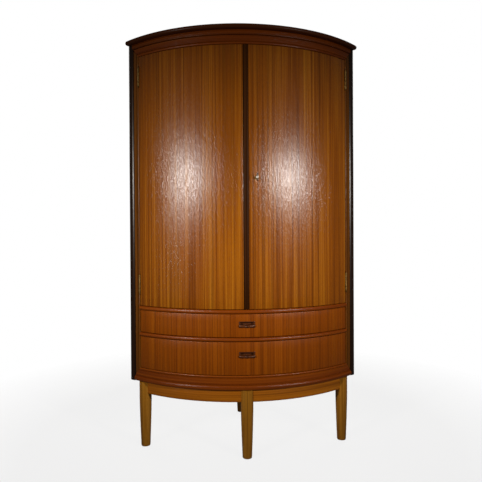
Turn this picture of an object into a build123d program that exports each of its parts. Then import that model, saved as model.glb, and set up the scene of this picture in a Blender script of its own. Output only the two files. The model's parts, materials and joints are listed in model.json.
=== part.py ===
from build123d import *
from math import asin, atan2, cos, degrees, hypot, radians, sin, sqrt
import os

# Bow-front corner cabinet: two curved doors over two curved drawers, on a leg frame.
#
# Millimetres. +Z is up, +Y points into the room's corner, and the origin is on the floor at the
# middle of the footprint. Every curved front piece turns about one vertical axis, so a place on
# the front is given as a radius from that axis and an angle, 0 in the middle and positive to the
# right.

# ---- driving dimensions -------------------------------------------------------------------------

ARC_Y = 403.0              # y of the vertical axis that the curved fronts share
FACE_R = 682.0             # face of the front frame
FRAME_BACK_R = 660.0       # back of the front frame, and inner face of doors and drawer fronts
LEAF_R = 680.0             # outer face of doors and drawer fronts
CORNER_Y = 386.0           # y where the two outer wall planes would meet, each at 45 degrees
BACK_Y = 313.0             # flat back that cuts that corner off

CORNICE_R = 703.8          # cornice: front edge, height of its two faces, and its rounding
CORNICE_BOTTOM = 1650.0
TOTAL_HEIGHT = 1667.0
CORNICE_TIP_RADIUS = 9.7
CORNICE_ROUNDING = 7.5

BASE_BOTTOM = 267.0        # base moulding
BASE_TOP = 291.0
BASE_R = 688.0
BASE_BACK_R = 641.5
BASE_ROUNDING = 8.0

RAIL_TOP = 324.0           # bottom rail of the front frame, whose top is level with the floor board
HEAD_BOTTOM = 1597.0       # head rail, with the frieze rail above it
HEAD_TOP = 1631.0
FRIEZE_R = 685.0
LOWER_BEAD = 455.5         # undersides of the two rounded rails above the drawers
UPPER_BEAD = 563.0
BEAD_HEIGHT = 15.0
BEAD_R = 685.0
BEAD_ROUNDING = 6.0
BOARD = 15.0               # thickness of the floor, drawer and ceiling boards
CEILING_TOP = 1627.0

WALL = 16.0                # wall panels and the narrow flat back
BACK_T = 10.0
POST_WIDTH = 30.0          # corner posts: across the wall, along it, and the bulge of the nose
POST_DEPTH = 40.0
POST_CROWN = 5.0
FAR = 600.0                # well outside every wall, where an open-ended shape is cut off
OPENING_X = 430.0          # half-width of the framed opening, at the face
GAP = 2.0                  # gap round doors and drawer fronts
SWEEP = 60.0               # angle that takes a front moulding past both walls, where they cut it

STRIP_HALF = 9.5           # dark strip on the right door's meeting edge
STRIP_PROUD = 4.0

HINGE_HEIGHT = 76.0        # butt hinges
HINGE_Z = {"lower": 666.0, "upper": 1514.0}
HINGE_LEAF = 1.5
HINGE_WIDTH = 18.0
KNUCKLES = 5
KNUCKLE_R = 3.5
KNUCKLE_ROOM = 0.3
PIN_R = 1.5
PIN_PLAY = 0.05
PIVOT_PROUD = 1.0          # the pin stands this far in front of the frame's face
LEAF_CLEAR = 0.5           # from the pin's plane to the near face of a leaf
SCREW_STEP = 26.0          # hinge screws: spacing, depth behind the face, head and shank
SCREW_IN = 12.0
SCREW_HEAD_R = 3.0
SCREW_R = 1.4
SCREW_LENGTH = 12.0

KEY_X = 40.0               # keyhole
KEY_Z = 1086.0
KEY_REACH = 36.7           # how far the key's bow stands out of the door
RUNNING = 0.08             # radial play of a rod in its guide

SHELF_Z = (820.0, 1075.0, 1330.0)   # undersides of the three shelves
SHELF_T = 16.0
SHELF_R = 600.0
PEG_R = 3.0
PEG_LENGTH = 22.0
PEG_Y = (-60.0, 190.0)     # the two pegs of a shelf on one wall
SHELF_PLAY = 1.0           # gap round a shelf
STOP_R = 636.0             # door stop under the ceiling board
STOP_CLEAR = 0.5
STOP_ANGLE = 14.0
STOP_DROP = 14.0

DRAWER_SUM = 300.0         # x + y on the outer face of a drawer's slanting side
DRAWER_BACK_Y = 227.0
DRAWER_BOARD = 12.0
DRAWER_BOTTOM = 5.0
DRAWER_HEADROOM = 22.0     # from the top of a drawer's opening down to its sides
BOTTOM_RISE = 12.0         # from the board under a drawer up to its bottom
RUNNER_HALF = 15.0
RUNNER_HEIGHT = 8.0
RUNNER_Y = (-245.0, 215.0)
GUIDE_WIDTH = 14.5         # guides under the bottom, one each side of the runner
GUIDE_Y = (-250.0, 210.0)
GUIDE_LIFT = 1.0
SIDE_PLAY = 0.5            # running gaps beside and under a drawer
DRAWER_LIFT = 0.5
GRIP_HALF = 31.0           # grips: half-width, height, and the middle of each
GRIP_HEIGHT = 25.0
GRIP_Z = {"upper": 521.0, "lower": 404.0}
GRIP_DEPTH = 14.0
GRIP_PROUD = 1.0           # how far its frame stands out of the drawer front
GRIP_REACH = 11.0          # how far the lip stands out of the drawer front
GRIP_EDGE = 4.0
HOLLOW_HALF = 26.0         # finger hollow, from just under the grip's middle to near its top
HOLLOW_DEPTH = 11.0
HOLLOW_DROP = 1.5
HOLLOW_ROOF = 3.0
FULL_CUT = 12.0            # a cut starts this far in front of a face, past all that stands out

LEG_R = 24.5               # front legs, on one circle about the same axis
LEG_FOOT_R = 18.5
LEG_KNEE = 190.0           # height where the taper starts
FOOT_ROUNDING = 4.0
LEG_CIRCLE = 662.0
LEG_X = 410.0
REAR_LEG_R = 20.0
REAR_LEG_FOOT_R = 13.0
REAR_LEG_Y = 233.0
APRON_R = 672.0            # curved apron between the front legs
APRON_BACK_R = 648.0
APRON_BOTTOM = 219.0
SIDE_RAIL = 22.0

# ---- worked out from them -----------------------------------------------------------------------

ROOT2 = sqrt(2)
UP = Axis((0, ARC_Y, 0), (0, 0, 1))
FACE_ANGLE = degrees(asin(OPENING_X / FACE_R))
LEAF_ANGLE = FACE_ANGLE - degrees(GAP / FACE_R)
PIVOT_ANGLE = (FACE_ANGLE + LEAF_ANGLE) / 2
STRIP_ANGLE = degrees(STRIP_HALF / LEAF_R)
KEY_ANGLE = degrees(asin(KEY_X / LEAF_R))
SIDE_LEG_ANGLE = degrees(asin(LEG_X / LEG_CIRCLE))
INNER_SUM = CORNER_Y - WALL * ROOT2         # x + y on the inner face of the right wall panel
POST_SUM = CORNER_Y - POST_WIDTH * ROOT2    # x + y on the inner face of the right post
DRAWER_INNER_SUM = DRAWER_SUM - DRAWER_BOARD * ROOT2
DOOR_BOTTOM = UPPER_BEAD + BEAD_HEIGHT
LEFT_DOOR_ANGLE = STRIP_ANGLE + degrees(GAP / LEAF_R)


# ---- helpers ------------------------------------------------------------------------------------

def polar(radius, angle):
    """The plan point at that radius and angle."""
    a = radians(angle)
    return (radius * sin(a), ARC_Y - radius * cos(a))


def meets(radius, total):
    """Where a front arc meets the 45 degree plane x + y = total, on the right."""
    c = ARC_Y - total
    x = (-c + sqrt(2 * radius**2 - c**2)) / 2
    return (x, total - x)


def placed(radius, angle):
    """The place on the front whose x runs along the front, and whose y runs inwards."""
    return Pos(*polar(radius, angle), 0) * Rot(0, 0, angle)


def mirrored(shape):
    """The same piece on the left of the cabinet."""
    return mirror(shape, about=Plane.YZ)


def both_sides(shapes):
    """The pieces of the right side with those of the left."""
    return shapes + [mirrored(shape) for shape in shapes]


def block(x0, x1, y0, y1, z0, z1):
    """A box between six faces."""
    return Pos((x0 + x1) / 2, (y0 + y1) / 2, (z0 + z1) / 2) * Box(x1 - x0, y1 - y0, z1 - z0)


def rod(radius, x, y, z0, z1):
    """An upright cylinder."""
    return Pos(x, y, (z0 + z1) / 2) * Cylinder(radius, z1 - z0)


def inward_rod(radius, x, y0, y1, z):
    """A cylinder along y, which is inwards at a place on the front."""
    return Pos(x, (y0 + y1) / 2, z) * Rot(90, 0, 0) * Cylinder(radius, y1 - y0)


def prism(points, z0, z1):
    """A straight-sided plan outline, raised from z0 to z1."""
    return Pos(0, 0, z0) * extrude(make_face(Polyline(*points, close=True)), z1 - z0)


def profile(angle, edges):
    """A face on the upright plane at that angle, drawn as (radius, height)."""
    a = radians(angle)
    plane = Plane((0, ARC_Y, 0), x_dir=(sin(a), -cos(a), 0), z_dir=(-cos(a), -sin(a), 0))
    return plane * make_face(edges)


def band(r_in, r_out, a0, a1, z0, z1):
    """A curved slab between two radii, two angles and two heights."""
    outline = Polyline((r_in, z0), (r_out, z0), (r_out, z1), (r_in, z1), close=True)
    return revolve(profile(a0, outline), UP, a1 - a0)


def moulding(r_in, r_out, a0, a1, z0, z1, rounding):
    """A curved slab whose two front edges are rounded."""
    outline = [
        Line((r_in, z0), (r_out - rounding, z0)),
        RadiusArc((r_out - rounding, z0), (r_out, z0 + rounding), -rounding),
        Line((r_out, z0 + rounding), (r_out, z1 - rounding)),
        RadiusArc((r_out, z1 - rounding), (r_out - rounding, z1), -rounding),
        Line((r_out - rounding, z1), (r_in, z1)),
        Line((r_in, z1), (r_in, z0)),
    ]
    return revolve(profile(a0, outline), UP, a1 - a0)


def between_walls(total, z0, z1):
    """Everything in front of the two planes x + y = total and y - x = total."""
    return prism([(0, total), (total + FAR, -FAR), (-total - FAR, -FAR)], z0, z1)


def board(z0, z1, radius, total, back_y):
    """A flat board with a curved front, two sides at 45 degrees and a straight back."""
    x, y = meets(radius, total)
    outline = [
        ThreePointArc((-x, y), (0, ARC_Y - radius), (x, y)),
        Line((x, y), (total - back_y, back_y)),
        Line((total - back_y, back_y), (back_y - total, back_y)),
        Line((back_y - total, back_y), (-x, y)),
    ]
    return Pos(0, 0, z0) * extrude(make_face(outline), z1 - z0)


def cut(shape, *tools):
    """The shape with every tool taken out of it."""
    for tool in tools:
        shape = shape - tool
    return shape


# ---- carcase ------------------------------------------------------------------------------------

def make_post(z0, z1):
    """The right corner post, a rectangle along the wall with a bulging nose."""
    outer = meets(FACE_R, CORNER_Y)
    inner = meets(FACE_R, POST_SUM)
    middle = ((outer[0] + inner[0]) / 2, (outer[1] + inner[1]) / 2)
    nose = (middle[0] + POST_CROWN / ROOT2, middle[1] - POST_CROWN / ROOT2)
    run = POST_DEPTH / ROOT2
    inner_back = (inner[0] - run, inner[1] + run)
    across = POST_WIDTH / ROOT2
    outer_back = (inner_back[0] + across, inner_back[1] + across)
    outline = [
        ThreePointArc(outer, nose, inner),
        Line(inner, inner_back),
        Line(inner_back, outer_back),
        Line(outer_back, outer),
    ]
    return Pos(0, 0, z0) * extrude(make_face(outline), z1 - z0)


def make_wall(z0, z1):
    """The right wall panel, from the back of the post to the flat back."""
    inner = meets(FACE_R, POST_SUM)
    run = (POST_DEPTH + POST_WIDTH) / ROOT2
    front_outer = (inner[0] - POST_DEPTH / ROOT2 + POST_WIDTH / ROOT2, inner[1] + run)
    across = WALL / ROOT2
    front_inner = (front_outer[0] - across, front_outer[1] - across)
    points = [
        front_outer,
        (CORNER_Y - BACK_Y, BACK_Y),
        (INNER_SUM - BACK_Y, BACK_Y),
        front_inner,
    ]
    return prism(points, z0, z1)


def make_stile():
    """The right stile of the front frame, between the opening and the post."""
    outer, inner = meets(FACE_R, POST_SUM), meets(FRAME_BACK_R, POST_SUM)
    outer_mid = (FACE_ANGLE + degrees(asin(outer[0] / FACE_R))) / 2
    inner_mid = (FACE_ANGLE + degrees(asin(inner[0] / FRAME_BACK_R))) / 2
    outline = [
        ThreePointArc(polar(FACE_R, FACE_ANGLE), polar(FACE_R, outer_mid), outer),
        Line(outer, inner),
        ThreePointArc(inner, polar(FRAME_BACK_R, inner_mid), polar(FRAME_BACK_R, FACE_ANGLE)),
        Line(polar(FRAME_BACK_R, FACE_ANGLE), polar(FACE_R, FACE_ANGLE)),
    ]
    return Pos(0, 0, BASE_TOP) * extrude(make_face(outline), HEAD_TOP - BASE_TOP)


def make_cornice():
    """The top board, with rounded tips and a rounded front edge."""
    slab = board(CORNICE_BOTTOM, TOTAL_HEIGHT, CORNICE_R, CORNER_Y, BACK_Y)
    tips = [e for e in slab.edges().filter_by(Axis.Z) if e.center().Y < 0]
    slab = fillet(tips, CORNICE_TIP_RADIUS)
    front = [e for e in slab.edges() if e.geom_type == GeomType.CIRCLE]
    return fillet(front, CORNICE_ROUNDING)


def peg_places():
    """Foot, height and direction of each shelf peg on the right wall."""
    for shelf in SHELF_Z:
        for y in PEG_Y:
            yield (INNER_SUM - y, y), shelf - PEG_R


def make_pegs():
    """The shelf pegs in the right wall, half their length in the wood."""
    return [
        Pos(x, y, z) * Rot(0, 0, 45) * Rot(0, 90, 0) * Cylinder(PEG_R, PEG_LENGTH)
        for (x, y), z in peg_places()
    ]


# ---- hinges -------------------------------------------------------------------------------------
# Each hinge is drawn at its place on the front: x along the front, y inwards, the pin in front.

def knuckle_spans(middle, first):
    """The heights of every other knuckle, starting with knuckle number first."""
    pitch = HINGE_HEIGHT / KNUCKLES
    bottom = middle - HINGE_HEIGHT / 2
    for i in range(first, KNUCKLES, 2):
        low = bottom + i * pitch + (KNUCKLE_ROOM / 2 if i > 0 else 0)
        high = bottom + (i + 1) * pitch - (KNUCKLE_ROOM / 2 if i < KNUCKLES - 1 else 0)
        yield low, high


def make_hinge_leaf(middle, on_frame):
    """One leaf with its knuckles: the frame's leaf has the odd ones, the door's the even ones."""
    side = 1 if on_frame else -1
    x0, x1 = sorted((side * LEAF_CLEAR, side * (LEAF_CLEAR + HINGE_LEAF)))
    z0, z1 = middle - HINGE_HEIGHT / 2, middle + HINGE_HEIGHT / 2
    leaf = block(x0, x1, -PIVOT_PROUD, HINGE_WIDTH, z0, z1)
    for low, high in knuckle_spans(middle, 1 if on_frame else 0):
        room = rod(KNUCKLE_R + KNUCKLE_ROOM, 0, -PIVOT_PROUD, low - KNUCKLE_ROOM, high + KNUCKLE_ROOM)
        leaf = leaf - room
    for low, high in knuckle_spans(middle, 0 if on_frame else 1):
        leaf = leaf + rod(KNUCKLE_R, 0, -PIVOT_PROUD, low, high)
    bore = PIN_R if on_frame else PIN_R + PIN_PLAY
    return leaf - rod(bore, 0, -PIVOT_PROUD, z0 - 1, z1 + 1)


def make_hinge_pin(middle):
    """The pin, as long as the hinge."""
    return rod(PIN_R, 0, -PIVOT_PROUD, middle - HINGE_HEIGHT / 2, middle + HINGE_HEIGHT / 2)


def make_hinge_screws(middle, on_frame):
    """Three countersunk screws through one leaf."""
    side = 1 if on_frame else -1
    head_x = side * (LEAF_CLEAR + HINGE_LEAF / 2)
    shank_x = side * (LEAF_CLEAR + HINGE_LEAF + (SCREW_LENGTH - HINGE_LEAF) / 2)
    screws = []
    for step in (-SCREW_STEP, 0.0, SCREW_STEP):
        z = middle + step
        head = Pos(head_x, SCREW_IN, z) * Rot(0, 90, 0) * Cylinder(SCREW_HEAD_R, HINGE_LEAF)
        shank = Pos(shank_x, SCREW_IN, z) * Rot(0, 90, 0) * Cylinder(SCREW_R, SCREW_LENGTH - HINGE_LEAF)
        screws.append(head + shank)
    return screws


def hinge_room(middle):
    """The space that the knuckles need in the door's and the frame's edges."""
    half = HINGE_HEIGHT / 2 + KNUCKLE_ROOM
    return rod(KNUCKLE_R + KNUCKLE_ROOM, 0, -PIVOT_PROUD, middle - half, middle + half)


# ---- meeting strip ------------------------------------------------------------------------------

def make_strip(z0, z1):
    """The rounded dark strip: as thick as the door, with a half-round face in front of it."""
    back = FRAME_BACK_R
    crown = (0, ARC_Y - LEAF_R - STRIP_PROUD)
    outline = [
        ThreePointArc(polar(LEAF_R, -STRIP_ANGLE), crown, polar(LEAF_R, STRIP_ANGLE)),
        Line(polar(LEAF_R, STRIP_ANGLE), polar(back, STRIP_ANGLE)),
        ThreePointArc(polar(back, STRIP_ANGLE), (0, ARC_Y - back), polar(back, -STRIP_ANGLE)),
        Line(polar(back, -STRIP_ANGLE), polar(LEAF_R, -STRIP_ANGLE)),
    ]
    return Pos(0, 0, z0) * extrude(make_face(outline), z1 - z0)


# ---- lock ---------------------------------------------------------------------------------------
# Drawn at the keyhole: x along the front, y inwards from the door's outer face.

LOCK_FRONT, LOCK_BACK = 19.0, 34.0          # the case's front and back
LOCK_LEFT, LOCK_RIGHT, LOCK_HALF = -27.5, 20.0, 30.0
LOCK_SHEET = 2.0
BOLT_FRONT, BOLT_BACK = 24.0, 29.0          # the bolt's front and back
BOLT_LOW, BOLT_HIGH = KEY_Z + 10.0, KEY_Z + 20.0
BOLT_TIP, BOLT_TAIL = -49.0, 12.0
BOLT_THROW = 10.0
BOLT_PLAY = 0.3
NOTCH_HALF, NOTCH_DEPTH = 4.0, 3.0          # notch in the bolt's underside that the key turns in
STRIKE_FRONT, STRIKE_BACK = 19.0, 32.0      # catch plate on the other door
STRIKE_LEFT, STRIKE_RIGHT = -70.0, -53.0
STRIKE_LOW, STRIKE_HIGH = KEY_Z + 2.0, KEY_Z + 28.0
STRIKE_ROOM = 1.0
PLATE_R, PLATE_PROUD, PLATE_SEAT = 8.0, 1.2, 1.0
SHANK_R = 2.5
SHANK_END = 28.0
KEYHOLE_ROOM = 0.5
BIT_FRONT, BIT_BACK, BIT_DROP = 22.0, 27.0, 8.0
BOW_HALF, BOW_RADIUS, BOW_THICK = 16.0, 12.5, 3.0
EYE_HALF, EYE_RADIUS = 11.5, 8.0
COLLAR_R, COLLAR_FRONT, COLLAR_BACK = 3.6, -12.0, -9.0


def lock_block():
    """The envelope of the lock case."""
    return block(LOCK_LEFT, LOCK_RIGHT, LOCK_FRONT, LOCK_BACK, KEY_Z - LOCK_HALF, KEY_Z + LOCK_HALF)


def make_lock_case():
    """A sheet-metal box on the back of the right door, with a slot for the bolt."""
    t = LOCK_SHEET
    z0, z1 = KEY_Z - LOCK_HALF + t, KEY_Z + LOCK_HALF - t
    room = block(LOCK_LEFT + t, LOCK_RIGHT - t, LOCK_FRONT + t, LOCK_BACK - t, z0, z1)
    keyhole = inward_rod(SHANK_R + RUNNING, 0, LOCK_FRONT - t, LOCK_FRONT + 2 * t, KEY_Z)
    slot = block(
        LOCK_LEFT - t,
        LOCK_LEFT + 2 * t,
        BOLT_FRONT - BOLT_PLAY,
        BOLT_BACK + BOLT_PLAY,
        BOLT_LOW - BOLT_PLAY,
        BOLT_HIGH + BOLT_PLAY,
    )
    return cut(lock_block(), room, keyhole, slot)


def make_lock_bolt():
    """The bolt, with a notched tail above the key's bit."""
    bar = block(BOLT_TIP, BOLT_TAIL, BOLT_FRONT, BOLT_BACK, BOLT_LOW, BOLT_HIGH)
    below = BOLT_LOW - NOTCH_DEPTH
    notch = block(-NOTCH_HALF, NOTCH_HALF, BOLT_FRONT - 1, BOLT_BACK + 1, below, BOLT_LOW + NOTCH_DEPTH)
    return bar - notch


def strike_block():
    """The envelope of the catch plate on the back of the left door."""
    return block(STRIKE_LEFT, STRIKE_RIGHT, STRIKE_FRONT, STRIKE_BACK, STRIKE_LOW, STRIKE_HIGH)


def make_strike():
    """The catch plate, with a pocket for the bolt a little deeper than the bolt's throw."""
    room = STRIKE_ROOM
    end = BOLT_TIP - BOLT_THROW - 8 * room
    pocket = block(
        end,
        STRIKE_RIGHT + room,
        BOLT_FRONT - room,
        BOLT_BACK + room,
        BOLT_LOW - room,
        BOLT_HIGH + room,
    )
    return strike_block() - pocket


def plate_seat():
    """The envelope of the round keyhole plate."""
    return inward_rod(PLATE_R, 0, -PLATE_PROUD, PLATE_SEAT, KEY_Z)


def make_escutcheon():
    """A round plate round the keyhole."""
    return plate_seat() - inward_rod(SHANK_R + RUNNING, 0, -PLATE_R, PLATE_R, KEY_Z)


def make_key():
    """The key: an upright oval bow, a collar, a round shank and a bit."""
    bow_place = Pos(0, BOW_RADIUS - KEY_REACH, KEY_Z) * Rot(0, 90, 0)
    bow = bow_place * extrude(Ellipse(BOW_HALF, BOW_RADIUS), BOW_THICK / 2, both=True)
    eye = bow_place * extrude(Ellipse(EYE_HALF, EYE_RADIUS), BOW_THICK, both=True)
    collar = inward_rod(COLLAR_R, 0, COLLAR_FRONT, COLLAR_BACK, KEY_Z)
    shank_start = 2 * BOW_RADIUS - BOW_THICK / 2 - KEY_REACH
    shank = inward_rod(SHANK_R, 0, shank_start, SHANK_END, KEY_Z)
    bit = block(-1.0, 1.0, BIT_FRONT, BIT_BACK, KEY_Z - BIT_DROP, KEY_Z)
    return (bow - eye) + collar + shank + bit


# ---- slide bolts of the left door ---------------------------------------------------------------

SLIDE_BOLT_X = -34.0
SLIDE_BOLT_RADIUS = 650.0
SLIDE_BOLT_R = 3.0
SLIDE_BOLT_THROW = 10.0
SLIDE_BOLT_LENGTH = 84.0
SLIDE_BOLT_CLEAR = 3.0                      # from the drawn-back top bolt to the door stop
SOCKET_ROOM = 0.5
KNOB_R, KNOB_REACH = 3.5, 12.0
GUIDE_HALF, GUIDE_HALF_HEIGHT, GUIDE_STEP = 8.0, 6.0, 16.0
GUIDE_FRONT, GUIDE_BACK = -16.0, 6.0


def slide_bolt_spans():
    """The heights of both slide bolts, drawn back."""
    bottom, top = DOOR_BOTTOM + GAP, HEAD_BOTTOM - STOP_DROP - SLIDE_BOLT_CLEAR
    return {
        "top": (top - SLIDE_BOLT_LENGTH, top),
        "bottom": (bottom, bottom + SLIDE_BOLT_LENGTH),
    }


def slide_bolt_place():
    """The place of both slide bolts: y runs inwards from the bolts' own axis."""
    return placed(SLIDE_BOLT_RADIUS, degrees(asin(SLIDE_BOLT_X / SLIDE_BOLT_RADIUS)))


def make_slide_bolt(z0, z1):
    """A round bolt with a knob in the middle of its length."""
    knob = inward_rod(KNOB_R, 0, 0, KNOB_REACH, (z0 + z1) / 2)
    return slide_bolt_place() * (rod(SLIDE_BOLT_R, 0, 0, z0, z1) + knob)


def make_bolt_guides(z0, z1):
    """The two blocks on the door that a slide bolt runs through."""
    guides = []
    half = GUIDE_HALF_HEIGHT
    for z in (z0 + GUIDE_STEP, z1 - GUIDE_STEP):
        base = block(-GUIDE_HALF, GUIDE_HALF, GUIDE_FRONT, GUIDE_BACK, z - half, z + half)
        guides.append(base - rod(SLIDE_BOLT_R + RUNNING, 0, 0, z - 2 * half, z + 2 * half))
    return [slide_bolt_place() * guide for guide in guides]


def make_socket(low, high):
    """The hole that a slide bolt shoots into, between two heights."""
    return slide_bolt_place() * rod(SLIDE_BOLT_R + SOCKET_ROOM, 0, 0, low, high)


# ---- drawers ------------------------------------------------------------------------------------

def grip_block(middle, depth, proud):
    """The envelope of a grip: y runs inwards from the drawer's face."""
    half = GRIP_HEIGHT / 2
    return block(-GRIP_HALF, GRIP_HALF, -proud, depth, middle - half, middle + half)


def make_grip(middle):
    """A hardwood insert with a finger hollow above a lip that stands out of the drawer."""
    low, high = middle - GRIP_HEIGHT / 2, middle + GRIP_HEIGHT / 2
    hollow_low = middle - HOLLOW_DROP
    body = grip_block(middle, GRIP_DEPTH, GRIP_PROUD)
    hollow = block(-HOLLOW_HALF, HOLLOW_HALF, -FULL_CUT, HOLLOW_DEPTH, hollow_low, high - HOLLOW_ROOF)
    lip = block(-GRIP_HALF, GRIP_HALF, -GRIP_REACH, 0, low, hollow_low)
    lip = fillet(lip.edges().filter_by(Axis.X).sort_by(Axis.Y)[:2], GRIP_EDGE)
    return placed(LEAF_R, 0) * ((body - hollow) + lip)


def make_drawer(name, floor, top):
    """One drawer, in the opening between heights floor and top, as a dictionary of its pieces."""
    low = floor + DRAWER_LIFT
    side_top = top - DRAWER_HEADROOM
    bottom_z = floor + BOTTOM_RISE
    bottom_top = bottom_z + DRAWER_BOTTOM
    front = band(FRAME_BACK_R, LEAF_R, -LEAF_ANGLE, LEAF_ANGLE, floor + GAP, top - GAP)
    front = front - placed(LEAF_R, 0) * grip_block(GRIP_Z[name], GRIP_DEPTH, FULL_CUT)
    inside_face = band(RUNNING, FRAME_BACK_R, -SWEEP, SWEEP, low, side_top)
    x_out, x_in = DRAWER_SUM - DRAWER_BACK_Y, DRAWER_INNER_SUM - DRAWER_BACK_Y
    side = prism(
        [
            (x_out, DRAWER_BACK_Y),
            (x_in, DRAWER_BACK_Y),
            (DRAWER_INNER_SUM + FAR / 2, -FAR / 2),
            (DRAWER_SUM + FAR / 2, -FAR / 2),
        ],
        low,
        side_top,
    )
    side = side & inside_face
    back_front = DRAWER_BACK_Y - DRAWER_BOARD
    back = prism(
        [
            (x_in, DRAWER_BACK_Y),
            (-x_in, DRAWER_BACK_Y),
            (back_front - DRAWER_INNER_SUM, back_front),
            (DRAWER_INNER_SUM - back_front, back_front),
        ],
        bottom_top,
        side_top,
    )
    bottom = board(bottom_z, bottom_top, FRAME_BACK_R, DRAWER_INNER_SUM, DRAWER_BACK_Y)
    guide_x = RUNNER_HALF + SIDE_PLAY
    guide = block(guide_x, guide_x + GUIDE_WIDTH, *GUIDE_Y, floor + GUIDE_LIFT, bottom_z)
    return {
        f"{name}_drawer_front": front,
        f"{name}_drawer_sides": both_sides([side]),
        f"{name}_drawer_back": back,
        f"{name}_drawer_bottom": bottom,
        f"{name}_drawer_guides": both_sides([guide]),
        f"{name}_drawer_grip": make_grip(GRIP_Z[name]),
    }


# ---- leg frame ----------------------------------------------------------------------------------

def make_leg(x, y, top_r, foot_r):
    """A turned leg that tapers from just under the cabinet to a rounded foot."""
    sole_r = foot_r - FOOT_ROUNDING
    outline = [
        Line((0, 0), (sole_r, 0)),
        RadiusArc((sole_r, 0), (foot_r, FOOT_ROUNDING), -FOOT_ROUNDING),
        Line((foot_r, FOOT_ROUNDING), (top_r, LEG_KNEE)),
        Line((top_r, LEG_KNEE), (top_r, BASE_BOTTOM)),
        Line((top_r, BASE_BOTTOM), (0, BASE_BOTTOM)),
        Line((0, BASE_BOTTOM), (0, 0)),
    ]
    return Pos(x, y, 0) * revolve(Plane.XZ * make_face(outline), Axis.Z)


def make_side_rail(leg, rear):
    """The straight rail from a front corner leg to the rear leg."""
    length = hypot(rear[0] - leg[0], rear[1] - leg[1])
    turn = degrees(atan2(rear[1] - leg[1], rear[0] - leg[0]))
    bar = block(0, length, -SIDE_RAIL / 2, SIDE_RAIL / 2, APRON_BOTTOM, BASE_BOTTOM)
    return Pos(leg[0], leg[1], 0) * Rot(0, 0, turn) * bar


# ---- the model ----------------------------------------------------------------------------------

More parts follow.
